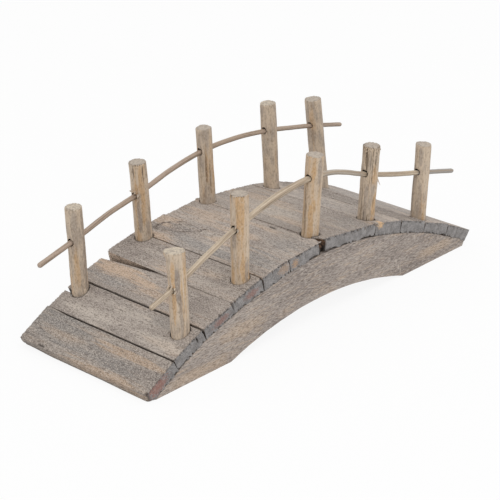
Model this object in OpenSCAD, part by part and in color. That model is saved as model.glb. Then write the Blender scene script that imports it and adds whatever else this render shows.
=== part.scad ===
// Miniature wooden moon bridge.
// Two sawn stringers carry a deck of flat boards laid round their curved tops. Dowel posts
// stand in sockets bored through the boards into the stringers, and a bent reed is
// threaded through each row of posts as its handrail.
// X runs along the bridge, Y across it from front to back, Z up from the ground.

/* [Deck] */
// Length of the boards, across the bridge
deck_width = 106.5; // [80:0.5:140]
// Width of a common board, along the bridge
board_width = 25.4; // [20:0.2:30]
// Usual thickness of the boards
board_thickness = 6.6; // [4:0.1:10]
// Gap between the lower edges of neighbouring boards
board_gap = 0.3; // [0.2:0.1:1]
// Usual height of the deck's lower end edges above the ground
end_height = 2; // [1.8:0.1:6]
// Degrees by which the deck was set askew on its feet, its right end higher
deck_tilt = 0.5; // [0:0.1:0.6]

/* [Stringers] */
// Radius of the stringers' curved top
stringer_radius = 285; // [240:1:340]
// Thickness of a stringer
stringer_thickness = 20; // [16:0.5:26]
// Distance of a stringer's outer face inside the board ends
stringer_inset = 0.5; // [0:0.1:4]
// Distance of the stringers' left toes inside the deck's left end
left_toe_setback = 4.2; // [0:0.1:6]
// Distance of the stringers' right toes inside the deck's right end
right_toe_setback = 0.3; // [0:0.1:6]
// Clear width between the feet, along the ground
arch_span = 160; // [120:1:200]
// Height of the arch between the feet
arch_rise = 13.5; // [8:0.1:20]

/* [Posts] */
// Usual diameter of a post
post_diameter = 10.5; // [8:0.1:13]
// Usual height of a post above the deck
post_height = 52; // [40:0.5:70]
// Depth of a post's socket in its stringer
socket_depth = 9; // [5:0.5:12]
// Width of the worn edge round a post's top
post_top_wear = 0.6; // [0.2:0.1:1.5]

/* [Rails] */
// Usual diameter of the front rail, a split reed
front_rail_diameter = 3.4; // [2.4:0.1:4.5]
// Usual diameter of the back rail, a whole reed
back_rail_diameter = 3.2; // [2.4:0.1:4.5]
// Usual distance of a rail below the tops of the posts
rail_drop = 18.5; // [12:0.5:28]

/* [Fits] */
// Gap under a board's middle, where it is glued to the stringers
seat_gap = 0.1; // [0.05:0.05:0.5]
// Room round a post in the boards, measured on the diameter
board_hole_room = 1; // [0.4:0.1:2]
// Room round a post in its socket, measured on the diameter
socket_room = 0.2; // [0.1:0.05:0.6]
// Gap under a post in its socket
socket_floor_gap = 0.1; // [0.05:0.05:0.5]
// Room round a rail in the posts, measured on the diameter
rail_hole_room = 1.2; // [0.6:0.1:2]
// Gap under a rail where it rests in a post
rail_rest_gap = 0.15; // [0.05:0.05:0.3]

/* [Wear] */
// Width that is missing from board 3 at its back end
taper_width = 5.1; // [0:0.1:8]
// Length of that taper along the board
taper_length = 44; // [20:1:60]
// Width of the piece torn from board 7 beside front post 3
tear_width = 3.6; // [0:0.1:5]
// Length of that tear along the board
tear_length = 7; // [4:0.5:20]
// Width of the split from back post 1 out through the end of board 2
split_width = 2.6; // [1:0.1:8]

/* [Hidden] */
$fn = 64;
// Width of each board from the left end, in common widths: the seventh is a double one
board_units = [1, 1, 1, 1, 0.9, 1.1, 2, 1, 1, 1, 1];
// How far each board differs from the usual thickness: at the left and the right of its
// front end, and what it loses from there to its back end
thickness_change = [
    [-0.4, -0.4, -0.6], [-0.2, 0, 0.2], [-0.1, -1.1, -0.2], [-1.2, 0.9, -0.3], [0.8, 0.9, 0.7],
    [0.9, 2.2, 2.2], [1.7, 0.2, 2.6], [0.7, 0, 2.2], [0, -0.5, 2], [-0.5, -0.4, 1.2], [-0.4, 0.3, 0.4]
];
// How much shorter each board was sawn at its front and back end
front_trim = [0, 0.5, 0.2, 0.7, 0.3, 0, 0.4, 0.3, 0.2, 0.1, 0];
back_trim = [0, 0.4, 0, 0.2, 0.6, 1.2, 0.5, 0.9, 0, 0.6, 0.3];
// Boards that have lost wood, counted from 0
TAPERED = 2;
TORN = 6;
SPLIT = 1;

// Rows of posts: front, then back, each from the left end
FRONT = 0;
BACK = 1;
SIDE = [-1, 1];
POSTS = [0:4];
// Place of each post along the deck, in common board widths from the crown
post_units = [[-4.26, -2.25, 0.15, 2.15, 4.2], [-4.27, -2.085, 0.1, 2.3, 4.27]];
// How far each post stands inside the middle of its stringer
post_offset = [[1.8, 1.7, 2.4, 1.6, 0.1], [-0.4, -1.2, -1.5, 0.9, 0.2]];
// Lean of each post in degrees, along the bridge and across it
post_lean = [
    [[-1.5, 0.9], [-0.3, -0.3], [1.7, -2.6], [1.8, -3], [1.1, -2.2]],
    [[-3.5, -1.2], [-4, 0.1], [-1.8, 1.3], [-1.8, 1.4], [-3.8, 3.6]]
];
// How far each post differs from the usual height and diameter
height_change = [[-0.9, 2.6, 1.7, -2.8, -2.2], [3.7, -1.5, -1.8, 5.2, 9.4]];
diameter_change = [[0.5, 0.5, 0.2, 0.2, -0.4], [-0.2, 0.3, -0.4, -0.3, 0.2]];
// How far each rail hole differs from the usual distance below the post's top
drop_change = [[2.8, 1.7, -4, 0.3, 0], [2.9, 2.1, -3.3, 0.5, 0.5]];
// Height of each rail over a straight line at the middle of its four bays
rail_bow = [[1, 3, 1.7, -0.6], [1.1, 1.6, 1.7, 0.2]];
// Reach and fall of each rail's free ends past its end posts
rail_tail = [[[22, 7.2], [33, 8.7]], [[30, 7.6], [27, 6.8]]];
// How far each rail's diameter changes along it, at its ends, posts and bays
rail_change = [
    [-0.2, 0, 0.1, 0.3, 0.8, 0.2, -0.2, -0.2, -0.2, -0.3, -0.5],
    [0.1, 0.1, 0, 0, 0, 0, -0.1, -0.1, -0.2, -0.3, -0.4]
];
rail_diameter = [front_rail_diameter, back_rail_diameter];
rail_sides = 12;
rail_steps = 4;

// Length by which a cut passes through what it cuts
past = 1;

// The deck's arc: each board is flat and touches the arc at its own middle
under_radius = stringer_radius + seat_gap;
deck_radius = under_radius + board_thickness;
unit_angle = 2 * atan((board_width + board_gap) / 2 / under_radius);
last_board = len(board_units) - 1;
function sum_to(list, n) = n < 0 ? 0 : list[n] + sum_to(list, n - 1);
unit_count = sum_to(board_units, last_board);
function board_middle(i) = sum_to(board_units, i - 1) + (board_units[i] - unit_count) / 2;
function width_of(i) = board_units[i] * (board_width + board_gap) - board_gap;
end_angle = board_middle(last_board) * unit_angle;
end_half = width_of(last_board) / 2;
arc_z = end_height - under_radius * cos(end_angle) + end_half * sin(end_angle);
arc_x = -arc_z * sin(deck_tilt);
deck_reach = deck_radius * sin(end_angle) + end_half * cos(end_angle);

// The arch under the stringers
arch_radius = (pow(arch_span / 2, 2) + pow(arch_rise, 2)) / (2 * arch_rise);

// Posts: the foot of the part that shows, its direction and its sizes
post_line = deck_width / 2 - stringer_inset - stringer_thickness / 2;
post_depth = board_thickness + seat_gap + socket_depth;
function post_angle(s, i) = post_units[s][i] * unit_angle - deck_tilt;
function post_base(s, i) = [
    arc_x + deck_radius * sin(post_angle(s, i)),
    SIDE[s] * (post_line - post_offset[s][i]),
    arc_z + deck_radius * cos(post_angle(s, i))
];
function post_axis(s, i) = let (along = post_lean[s][i][0], across = post_lean[s][i][1])
    [cos(across) * sin(along), sin(across), cos(across) * cos(along)];
function post_length(s, i) = post_height + height_change[s][i];
function post_width(s, i) = post_diameter + diameter_change[s][i];

// Rails: points at the free ends, the posts and the middles of the bays
function rail_at(s, i) =
    post_base(s, i) + post_axis(s, i) * (post_length(s, i) - rail_drop - drop_change[s][i]);
function rail_mid(s, i) = (rail_at(s, i) + rail_at(s, i + 1)) / 2 + [0, 0, rail_bow[s][i]];
function rail_end(s, i, way, tail) = rail_at(s, i) + [way * tail[0], 0, -tail[1]];
function rail_points(s) = concat(
    [rail_end(s, 0, -1, rail_tail[s][0]), rail_at(s, 0)],
    [for (i = [0:3], p = [rail_mid(s, i), rail_at(s, i + 1)]) p],
    [rail_end(s, 4, 1, rail_tail[s][1])]
);
function rail_width(s, k) = rail_diameter[s] + rail_change[s][k];
function post_knot(i) = 2 * i + 1;
function unit(v) = v / norm(v);

// A smooth curve through a list of points, and its direction at one of them
function slope(p, k) = k == 0 ? p[1] - p[0] :
    k == len(p) - 1 ? p[k] - p[k - 1] : (p[k + 1] - p[k - 1]) / 2;
function curve(p, k, u) = let (a = p[k], b = p[k + 1], ta = slope(p, k), tb = slope(p, k + 1))
    a * (2 * u * u * u - 3 * u * u + 1) + ta * (u * u * u - 2 * u * u + u)
    + b * (3 * u * u - 2 * u * u * u) + tb * (u * u * u - u * u);
function curve_row(p) = concat(
    [for (k = [0:len(p) - 2], j = [0:rail_steps - 1]) curve(p, k, j / rail_steps)],
    [p[len(p) - 1]]
);

// Puts its children on the deck's arc, with their underside on the stringers
module on_arc(angle) {
    translate([arc_x, 0, arc_z]) rotate([0, angle - deck_tilt, 0])
        translate([0, 0, under_radius]) children();
}

// Puts its children on a post's axis, from the deck up
module on_post(s, i) {
    translate(post_base(s, i)) rotate([-post_lean[s][i][1], post_lean[s][i][0], 0]) children();
}

// Turns its children's Z axis along a direction
module along(direction) {
    rotate([0, acos(direction.z / norm(direction)), atan2(direction.y, direction.x)]) children();
}

// A hole along a post's axis, through the boards and down to the post's socket floor
module post_hole(s, i, room) {
    depth = post_depth + socket_floor_gap;
    on_post(s, i) translate([0, 0, -depth])
        cylinder(d = post_width(s, i) + room, h = depth + 2 * board_thickness);
}

// Side view of a stringer: a curved top, sawn ends square to the end boards, an arch below
module stringer_profile() {
    difference() {
        translate([arc_x, arc_z]) circle(r = stringer_radius, $fn = 256);
        translate([arc_x - stringer_radius - past, -2 * stringer_radius])
            square([2 * (stringer_radius + past), 2 * stringer_radius]);
        translate([0, arch_rise - arch_radius]) circle(r = arch_radius, $fn = 256);
        translate([arc_x, arc_z]) rotate(deck_tilt + end_angle)
            translate([left_toe_setback - end_half - deck_reach, 0])
                square([deck_reach, stringer_radius + past]);
        translate([arc_x, arc_z]) rotate(deck_tilt - end_angle)
            translate([end_half - right_toe_setback, 0])
                square([deck_reach, stringer_radius + past]);
    }
}

module stringer(s) {
    outer = deck_width / 2 - stringer_inset;
    color("#8b8078") difference() {
        translate([0, s == FRONT ? stringer_thickness - outer : outer, 0])
            rotate([90, 0, 0]) linear_extrude(stringer_thickness) stringer_profile();
        for (i = POSTS) post_hole(s, i, socket_room);
    }
}

// A flat board before its holes are bored, with its underside on Z = 0: a rough-sawn wedge
module board_blank(i) {
    wide = width_of(i);
    front = -deck_width / 2 + front_trim[i];
    back = deck_width / 2 - back_trim[i];
    left_thick = board_thickness + thickness_change[i][0];
    right_thick = board_thickness + thickness_change[i][1];
    back_loss = thickness_change[i][2];
    thick = max(left_thick, right_thick) + abs(back_loss);
    plan = [[-wide / 2, front], [wide / 2, front], [wide / 2, back], [-wide / 2, back]];
    heights = [left_thick, right_thick, right_thick - back_loss, left_thick - back_loss];
    difference() {
        polyhedron(concat(
            [for (p = plan) [p.x, p.y, 0]],
            [for (k = [0:3]) [plan[k].x, plan[k].y, heights[k]]]
        ), [[0, 1, 2, 3], [7, 6, 5, 4], [0, 4, 5, 1], [1, 5, 6, 2], [2, 6, 7, 3], [3, 7, 4, 0]]);
        if (i == TAPERED) translate([wide / 2, back, -past]) linear_extrude(thick + 2 * past)
            polygon([[-taper_width, 0], [0, -taper_length], [past, -taper_length],
                [past, past], [-taper_width, past]]);
        if (i == TORN) translate([-wide / 2, front, -past]) linear_extrude(thick + 2 * past)
            polygon([[tear_width, 0], [0, tear_length], [-past, tear_length],
                [-past, -past], [tear_width, -past]]);
    }
}

module board(i) {
    color("#9a8d80") difference() {
        on_arc(board_middle(i) * unit_angle) board_blank(i);
        for (s = [FRONT, BACK], k = POSTS)
            if (abs(post_units[s][k] - board_middle(i)) < board_units[i] / 2 + 1)
                post_hole(s, k, board_hole_room);
        if (i == SPLIT) on_post(BACK, 0) translate([-split_width / 2, 0, -2 * board_thickness])
            cube([split_width, deck_width / 2, 4 * board_thickness]);
    }
}

module post(s, i) {
    wide = post_width(s, i);
    tall = post_length(s, i);
    knot = post_knot(i);
    hole_width = rail_width(s, knot) + rail_hole_room;
    color("#b39a76") difference() {
        on_post(s, i) rotate_extrude()
            polygon([[0, -post_depth], [wide / 2, -post_depth], [wide / 2, tall - post_top_wear],
                [wide / 2 - post_top_wear, tall], [0, tall]]);
        translate(rail_at(s, i) + [0, 0, rail_hole_room / 2 - rail_rest_gap])
            along(slope(rail_points(s), knot)) cylinder(d = hole_width, h = 2 * wide, center = true);
    }
}

// A bent reed: rings square to the curve, joined into one tapering tube
module rail(s) {
    points = curve_row(rail_points(s));
    widths = curve_row([for (k = [0:2 * len(rail_bow[s]) + 2]) rail_width(s, k)]);
    last = len(points) - 1;
    turn = 360 / rail_sides;
    rings = [for (k = [0:last]) let (
        forward = unit(points[min(k + 1, last)] - points[max(k - 1, 0)]),
        up = unit(cross(forward, [0, 1, 0])),
        side = cross(up, forward)
    ) for (j = [0:rail_sides - 1])
        points[k] + (up * cos(j * turn) + side * sin(j * turn)) * widths[k] / 2];
    skin = [for (k = [0:last - 1], j = [0:rail_sides - 1]) let (n = (j + 1) % rail_sides)
        [k * rail_sides + j, k * rail_sides + n, (k + 1) * rail_sides + n, (k + 1) * rail_sides + j]];
    start_cap = [for (j = [rail_sides - 1:-1:0]) j];
    end_cap = [for (j = [0:rail_sides - 1]) last * rail_sides + j];
    color("#b7a488") polyhedron(rings, concat([start_cap, end_cap], skin));
}

stringer(FRONT);  // front_stringer
stringer(BACK);  // back_stringer
for (i = [0:last_board]) board(i);
for (i = POSTS) post(FRONT, i);
for (i = POSTS) post(BACK, i);
rail(FRONT);  // front_rail
rail(BACK);  // back_rail
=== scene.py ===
# %% [markdown]
# # A miniature wooden moon bridge
# The real object is an ornament about 300 mm long: two sawn stringers, eleven rough boards
# laid across their curved tops, ten dowel posts and two reeds threaded through the posts as
# handrails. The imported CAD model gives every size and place. This lesson makes each piece
# again the way a hand would shape it in Blender, with the wear that the solids lack.

# %% Load the frame
import math

import bmesh
import bpy
import numpy as np
from mathutils import Matrix, Vector


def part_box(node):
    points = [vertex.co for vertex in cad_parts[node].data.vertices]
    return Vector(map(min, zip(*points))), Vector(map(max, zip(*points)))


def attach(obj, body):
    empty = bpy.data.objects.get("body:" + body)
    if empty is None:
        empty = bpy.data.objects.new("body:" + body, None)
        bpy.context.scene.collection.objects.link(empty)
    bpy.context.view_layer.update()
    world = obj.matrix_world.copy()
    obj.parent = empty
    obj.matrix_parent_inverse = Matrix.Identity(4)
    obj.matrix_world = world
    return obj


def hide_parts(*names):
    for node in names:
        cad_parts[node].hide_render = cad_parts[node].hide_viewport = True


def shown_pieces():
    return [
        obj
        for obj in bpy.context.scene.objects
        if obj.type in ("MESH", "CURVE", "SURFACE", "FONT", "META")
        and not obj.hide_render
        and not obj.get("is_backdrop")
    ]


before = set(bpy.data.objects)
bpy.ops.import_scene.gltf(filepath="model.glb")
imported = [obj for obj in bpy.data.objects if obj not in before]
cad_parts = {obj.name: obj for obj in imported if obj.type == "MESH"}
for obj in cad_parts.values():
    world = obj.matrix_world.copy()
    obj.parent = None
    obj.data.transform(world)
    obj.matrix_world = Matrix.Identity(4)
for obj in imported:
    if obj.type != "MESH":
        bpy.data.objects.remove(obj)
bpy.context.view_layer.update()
MM = 0.001
CLOSE = 1e-6  # places nearer than this are the same
FRONT, BACK = "front", "back"

# %% [markdown]
# ## Camera
# The picture was taken from the front left, a little above the bridge, with a long lens.
# A camera can be turned by hand until the edges agree, but here its angles were fitted to
# points read from the picture, so they are written as numbers and turned into a matrix.

# %% Place the camera
VIEW_TURN, VIEW_RISE, VIEW_ROLL = (math.radians(a) for a in (-47.086, 24.243, 0.426))
VIEW_DISTANCE = 1.19523
IMAGE_SIZE = 500
FOCAL_PIXELS = 1899.03
GROUND_CENTRE_PIXEL = (257.3, 291.93)
SENSOR_WIDTH = 36.0

toward_camera = Vector((math.sin(VIEW_TURN) * math.cos(VIEW_RISE),
                        -math.cos(VIEW_TURN) * math.cos(VIEW_RISE), math.sin(VIEW_RISE)))
level_right = (-toward_camera).cross(Vector((0, 0, 1))).normalized()
level_down = (-toward_camera).cross(level_right)
right = level_right * math.cos(VIEW_ROLL) + level_down * math.sin(VIEW_ROLL)
down = level_down * math.cos(VIEW_ROLL) - level_right * math.sin(VIEW_ROLL)
shift = [(c - IMAGE_SIZE / 2) / FOCAL_PIXELS * VIEW_DISTANCE for c in GROUND_CENTRE_PIXEL]
place = toward_camera * VIEW_DISTANCE - right * shift[0] - down * shift[1]


def add_new(name, add, **settings):
    """Adds a primitive with nothing else selected, and names it."""
    bpy.ops.object.select_all(action="DESELECT")
    add(**settings)
    bpy.context.object.name = name
    return bpy.context.object


camera = add_new("camera", bpy.ops.object.camera_add, location=place)
camera.matrix_world = Matrix.Translation(place) @ Matrix(
    (right, -down, toward_camera)).transposed().to_4x4()
camera.data.sensor_width = SENSOR_WIDTH
camera.data.lens = SENSOR_WIDTH * FOCAL_PIXELS / IMAGE_SIZE
bpy.context.scene.camera = camera
print("camera at", tuple(round(c, 3) for c in place), "lens", round(camera.data.lens, 1), "mm")

# %% [markdown]
# ## Light and floor
# In the picture the light comes from everywhere, a little more from above, and the ground
# fades to white. One big area lamp over a bright world gives that. The floor shows nearly
# white to the camera and still takes a faint shadow, so the feet touch ground.

# %% First node helpers
def feed(tree, socket, value):
    """Links another node's output to a socket, or sets the socket to a plain value."""
    if isinstance(value, bpy.types.NodeSocket):
        tree.links.new(value, socket)
    else:
        socket.default_value = value


def add_node(tree, kind, inputs=None, **settings):
    """Adds a node with its settings, and feeds its named or numbered inputs."""
    new = tree.nodes.new("ShaderNode" + kind)
    for name, value in settings.items():
        setattr(new, name, value)
    for key, value in (inputs or {}).items():
        feed(tree, new.inputs[key], value)
    return new


def math_node(tree, operation, *values):
    return add_node(tree, "Math", dict(enumerate(values)), operation=operation).outputs[0]


def product(tree, one, other):
    return math_node(tree, "MULTIPLY", one, other)


def new_finish(name, looks):
    """A new material and its tree, with inputs of its shader set."""
    material = bpy.data.materials.new(name)
    material.use_nodes = True
    for key, value in looks.items():
        material.node_tree.nodes["Principled BSDF"].inputs[key].default_value = value
    return material, material.node_tree


def seen_directly(tree):
    """1 where a ray shows the background itself: seen, mirrored or through glass."""
    path = add_node(tree, "LightPath").outputs
    mirrored = math_node(tree, "MAXIMUM", path["Is Camera Ray"], path["Is Glossy Ray"])
    return math_node(tree, "MAXIMUM", mirrored, path["Is Transmission Ray"])


print("first node helpers ready")

# %% Studio light and floor
WORLD_STRENGTH = 0.72
LAMP_SIZE = 1.6
LAMP_PLACE = Vector((-0.35, -0.75, 1.9))
LAMP_POWER = 14.0
FLOOR_SIZE = 12.0
FLOOR_GLOW, FLOOR_ROUGHNESS = 0.9, 0.9
WHITE, FLOOR_PAINT = (1, 1, 1, 1), (0.9, 0.9, 0.9, 1)

bpy.context.scene.view_settings.view_transform = "Standard"
world = bpy.context.scene.world or bpy.data.worlds.new("light_tent")
bpy.context.scene.world = world
world.use_nodes = True
tent = world.node_tree
tent.nodes.clear()
tent_light = add_node(tent, "Background", {"Color": WHITE, "Strength": WORLD_STRENGTH})
tent_white = add_node(tent, "Background", {"Color": WHITE})
tent_mix = add_node(tent, "MixShader", {
    0: seen_directly(tent), 1: tent_light.outputs[0], 2: tent_white.outputs[0]})
add_node(tent, "OutputWorld", {0: tent_mix.outputs[0]})

lamp = add_new("soft_lamp", bpy.ops.object.light_add, type="AREA", location=LAMP_PLACE)
lamp.data.size = LAMP_SIZE
lamp.data.energy = LAMP_POWER
lamp.rotation_euler = LAMP_PLACE.to_track_quat("Z", "Y").to_euler()

floor = add_new("pale_floor", bpy.ops.mesh.primitive_plane_add, size=FLOOR_SIZE)
floor_paint, tree = new_finish("pale_floor", {"Base Color": FLOOR_PAINT, "Roughness": FLOOR_ROUGHNESS})
glow = add_node(tree, "Emission")
blend = add_node(tree, "MixShader", {
    0: product(tree, seen_directly(tree), FLOOR_GLOW),
    1: tree.nodes["Principled BSDF"].outputs[0], 2: glow.outputs[0]})
feed(tree, tree.nodes["Material Output"].inputs["Surface"], blend.outputs[0])
floor.data.materials.append(floor_paint)
floor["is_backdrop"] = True
print("floor", FLOOR_SIZE, "m wide, lamp", LAMP_SIZE, "m wide")

# %% [markdown]
# ## Measuring the frame
# No piece is placed by eye. A board lies flat on the curved stringers, so its tilt is read
# from its largest lower face and its size from its corners seen along that tilt. A post is
# the line between the middles of its two ends, and a reed is a row of ring middles.

# %% Measuring boards, posts and reeds
FACES_DOWN = -0.8
OVER_THE_UNDERSIDE = 3 * MM
FOOT_BAND, HEAD_BAND = 1.0 * MM, 1.5 * MM
RING_GAP = 2 * MM


def points_of(node):
    """The node's own corner points, each only once."""
    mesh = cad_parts[node].data
    points = np.empty(len(mesh.vertices) * 3)
    mesh.vertices.foreach_get("co", points)
    return np.unique(points.reshape(-1, 3).round(7), axis=0)


def measure_board(node):
    """A board is a wedge: its underside is flat on the stringers, its top a sloping plane."""
    under = max((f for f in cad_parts[node].data.polygons if f.normal.z < FACES_DOWN),
                key=lambda f: f.area)
    tilt = math.atan2(-under.normal.x, -under.normal.z)
    turn = Matrix.Rotation(tilt, 3, "Y")
    flat = points_of(node) @ np.array(turn)
    low, high = flat.min(0), flat.max(0)
    middle = (low + high) / 2
    upper = flat[flat[:, 2] > low[2] + OVER_THE_UNDERSIDE]
    plane = np.column_stack([upper[:, 0] - middle[0], upper[:, 1] - middle[1], np.ones(len(upper))])
    slope_x, slope_y, top = np.linalg.lstsq(plane, upper[:, 2], rcond=None)[0]
    middle[2] = (low[2] + top) / 2
    return {"tilt": tilt, "turn": turn, "centre": turn @ Vector(middle), "slope": (slope_x, slope_y),
            "size": Vector((high[0] - low[0], high[1] - low[1], top - low[2]))}


def along_and_off(points, start, axis):
    """How far each point lies along a line, and how far from it."""
    start, axis = np.array(start), np.array(axis)
    along = (points - start) @ axis
    return along, np.linalg.norm(points - start - along[:, None] * axis, axis=1)


def measure_post(node):
    points = points_of(node)
    heights = points[:, 2]
    foot = Vector(points[heights < heights.min() + FOOT_BAND].mean(0))
    head = Vector(points[heights > heights.max() - HEAD_BAND].mean(0))
    axis = (head - foot).normalized()
    along, off = along_and_off(points, foot, axis)
    return {"foot": foot, "axis": axis, "length": along.max(), "radius": off.max()}


def measure_reed(node):
    points = points_of(node)
    points = points[points[:, 0].argsort()]
    rings = np.split(points, np.flatnonzero(np.diff(points[:, 0]) > RING_GAP) + 1)
    middles = [ring.mean(0) for ring in rings]
    radii = [np.linalg.norm(ring - ring.mean(0), axis=1).mean() for ring in rings]
    return np.array(middles), np.array(radii)


boards = {f"board_{i}": measure_board(f"board_{i}") for i in range(1, 12)}
posts = {f"{side}_post_{i}": measure_post(f"{side}_post_{i}")
         for side in (FRONT, BACK) for i in range(1, 6)}
reeds = {f"{side}_rail": measure_reed(f"{side}_rail") for side in (FRONT, BACK)}
for name in ("board_1", "board_7"):
    print(name, "tilt", round(math.degrees(boards[name]["tilt"]), 1),
          "size mm", [round(c / MM, 1) for c in boards[name]["size"]],
          "slope", [round(s, 3) for s in boards[name]["slope"]])
for name, post in posts.items():
    print(name, "length mm", round(post["length"] / MM, 1), "radius", round(post["radius"] / MM, 2))
print("reed rings:", {name: len(reed[1]) for name, reed in reeds.items()})

# %% [markdown]
# ## Hand tools
# A few habits keep operators safe: select one object before working on it, apply each
# modifier at once so the next step sees real vertices, and take a grain guide for textures.
# The guide is an empty that lies in the wood: stretched along the grain, it draws out the
# round blobs of a noise texture into fibres. It is only used while shaping.

# %% Selecting, applying and guiding
def take(piece):
    bpy.ops.object.select_all(action="DESELECT")
    piece.select_set(True)
    bpy.context.view_layer.objects.active = piece


def finish_with(piece, kind, **settings):
    """Adds a modifier, sets it and applies it."""
    take(piece)
    modifier = piece.modifiers.new(kind.lower(), kind)
    for key, value in settings.items():
        setattr(modifier, key, value)
    bpy.ops.object.modifier_apply(modifier=modifier.name)


def settle(piece):
    """Puts the object's place, turn and scale into its mesh."""
    take(piece)
    bpy.ops.object.transform_apply(location=True, rotation=True, scale=True)


grain_guide = add_new("grain_guide", bpy.ops.object.empty_add)
print("guide ready")

# %% Shaping noises
NOISE_BLOB = 0.25  # guide units
FAINTEST = 0.01  # weights under this are left out
CHIP_EDGE = (0.47, 0.62)  # where a chip begins in the noise, and where it is deepest


def cloud(name, depth):
    noise = bpy.data.textures.new(name, "CLOUDS")
    noise.noise_scale = NOISE_BLOB
    noise.noise_depth = depth
    return noise


fibre_noise = cloud("fibre_noise", 2)
swell_noise = cloud("swell_noise", 1)
chip_noise = cloud("chip_noise", 1)
chip_noise.use_color_ramp = True
for stop, edge, shade in zip(chip_noise.color_ramp.elements, CHIP_EDGE, (0, 1)):
    stop.position = edge
    stop.color = (shade, shade, shade, 1)


def push(piece, centre, turn, noise, depth, middle, blob, where=""):
    """Moves the surface in and out, in mm, by a noise with blobs of these sizes in mm."""
    scale = Matrix.Diagonal([size * MM / NOISE_BLOB for size in blob])
    grain_guide.matrix_world = Matrix.Translation(centre) @ (turn @ scale).to_4x4()
    bpy.context.view_layer.update()
    finish_with(piece, "DISPLACE", texture=noise, strength=depth * MM, mid_level=middle,
                texture_coords="OBJECT", texture_coords_object=grain_guide,
                vertex_group=where)


def mark(piece, name, weights):
    """A vertex group from an array of weights, one for each vertex."""
    group = piece.vertex_groups.new(name=name)
    for i in np.flatnonzero(weights > FAINTEST):
        group.add([int(i)], float(weights[i]), "REPLACE")
    return group


def coordinates(piece):
    points = np.empty(len(piece.data.vertices) * 3)
    piece.data.vertices.foreach_get("co", points)
    return points.reshape(-1, 3)


def note(piece, name, values):
    """Keeps one number for each vertex, for a finish to read."""
    kept = piece.data.attributes.new(name, "FLOAT", "POINT")
    kept.data.foreach_set("value", np.asarray(values, np.float32))


print("noises:", [t.name for t in bpy.data.textures])

# %% [markdown]
# ## Finishes: weathered wood
# All the wood is the same idea: a grey-brown base, drawn-out noise for the grain, fine dark
# and pale flecks, and warm streaks where the grey skin is rubbed through. Painting each
# piece by hand would also work, but a small kit of node helpers lets every board share the
# recipe and still look like its own piece of wood. Colours are written as on a paint card.

# %% Colours and noises
def paint(card):
    """A colour from its six-digit card number, made linear for the shader."""
    channels = [int(card[i:i + 2], 16) / 255 for i in (0, 2, 4)]
    return [c / 12.92 if c <= 0.04045 else ((c + 0.055) / 1.055) ** 2.4 for c in channels] + [1.0]


def grain(tree, spot, sizes, seed, detail=3.0):
    """Noise with blobs of the given sizes in millimetres."""
    drawn = add_node(tree, "VectorMath", {0: spot, 1: [s * MM for s in sizes]}, operation="DIVIDE")
    noise = add_node(tree, "TexNoise", noise_dimensions="4D", inputs={
        "Vector": drawn.outputs[0], "W": seed, "Scale": 1.0, "Detail": detail})
    return noise.outputs["Fac"]


def grains(tree, spot, seed, kinds):
    """One noise for each kind of grain in a wood, each with its own seed."""
    return {kind: grain(tree, spot, sizes, seed + k, detail)
            for k, (kind, (sizes, detail)) in enumerate(kinds.items())}


def fade(tree, value, low, high, bottom=0.0, top=1.0):
    """Goes smoothly from bottom to top as the value goes from low to high."""
    ramp = add_node(tree, "MapRange", interpolation_type="SMOOTHSTEP", inputs={
        "Value": value, "From Min": low, "From Max": high, "To Min": bottom, "To Max": top})
    return ramp.outputs["Result"]


def tint(tree, amount, under, over, way="MIX"):
    mix = add_node(tree, "Mix", {0: amount, 6: under, 7: over}, data_type="RGBA", blend_type=way)
    return mix.outputs[2]


def washes(tree, colour, values, rows):
    """Lays paints over a colour, each by its share where a value goes from low to high."""
    for kind, low, high, share, over in rows:
        colour = tint(tree, fade(tree, values[kind], low, high, 0, share), colour, over)
    return colour


print("a grey from the card:", [round(c, 3) for c in paint("808080")])

# %% Stains, woods and coats
WOBBLE = 0.45  # how far a stain's outline wanders, in its own reach
STAIN_EDGE = (1.0, 0.45)
WOOD_ROUGHNESS, WOOD_SHINE = 0.82, 0.25


def distance(tree, spot, centre, reach, wobble, turn=0):
    """Distance from a centre, counted in its reach along each axis, with a wobbling outline."""
    laid = add_node(tree, "Mapping", vector_type="TEXTURE", inputs={
        "Vector": spot, "Location": [c * MM for c in centre],
        "Rotation": (0, 0, math.radians(turn)), "Scale": [r * MM for r in reach]})
    size = add_node(tree, "VectorMath", {0: laid.outputs["Vector"]}, operation="LENGTH")
    return math_node(tree, "ADD", size.outputs["Value"], fade(tree, wobble, 0.3, 0.7, -WOBBLE, WOBBLE))


def stain(tree, colour, over, strength, spot, centre, reach, wobble):
    """Lays one soft-edged spot of paint, full at its centre and gone past its reach."""
    area = fade(tree, distance(tree, spot, centre, reach, wobble), *STAIN_EDGE)
    return tint(tree, product(tree, area, strength), colour, over)


def wood(name, centre, turn, roughness=WOOD_ROUGHNESS):
    """A new finish, with the spot on the piece measured from its centre along its own axes."""
    material, tree = new_finish(name, {"Roughness": roughness, "Specular IOR Level": WOOD_SHINE})
    laid = add_node(tree, "Mapping", vector_type="TEXTURE", inputs={
        "Vector": add_node(tree, "TexCoord").outputs["Object"],
        "Location": centre, "Rotation": turn.to_euler()})
    return material, tree, laid.outputs["Vector"]


def facing(tree, turn, axis):
    """How far the surface faces along one of the piece's own axes, either way."""
    normal = add_node(tree, "NewGeometry").outputs["Normal"]
    dot = add_node(tree, "VectorMath", {0: normal, 1: turn @ Vector(axis)}, operation="DOT_PRODUCT")
    return math_node(tree, "ABSOLUTE", dot.outputs["Value"])


def noted(tree, name):
    return add_node(tree, "Attribute", attribute_name=name).outputs["Fac"]


def coat(tree, colour, height, depth):
    """Sends the colour and a fine relief to the shader."""
    bump = add_node(tree, "Bump", {"Height": height, "Distance": depth})
    shader = tree.nodes["Principled BSDF"]
    feed(tree, shader.inputs["Base Color"], colour)
    feed(tree, shader.inputs["Normal"], bump.outputs["Normal"])


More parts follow.
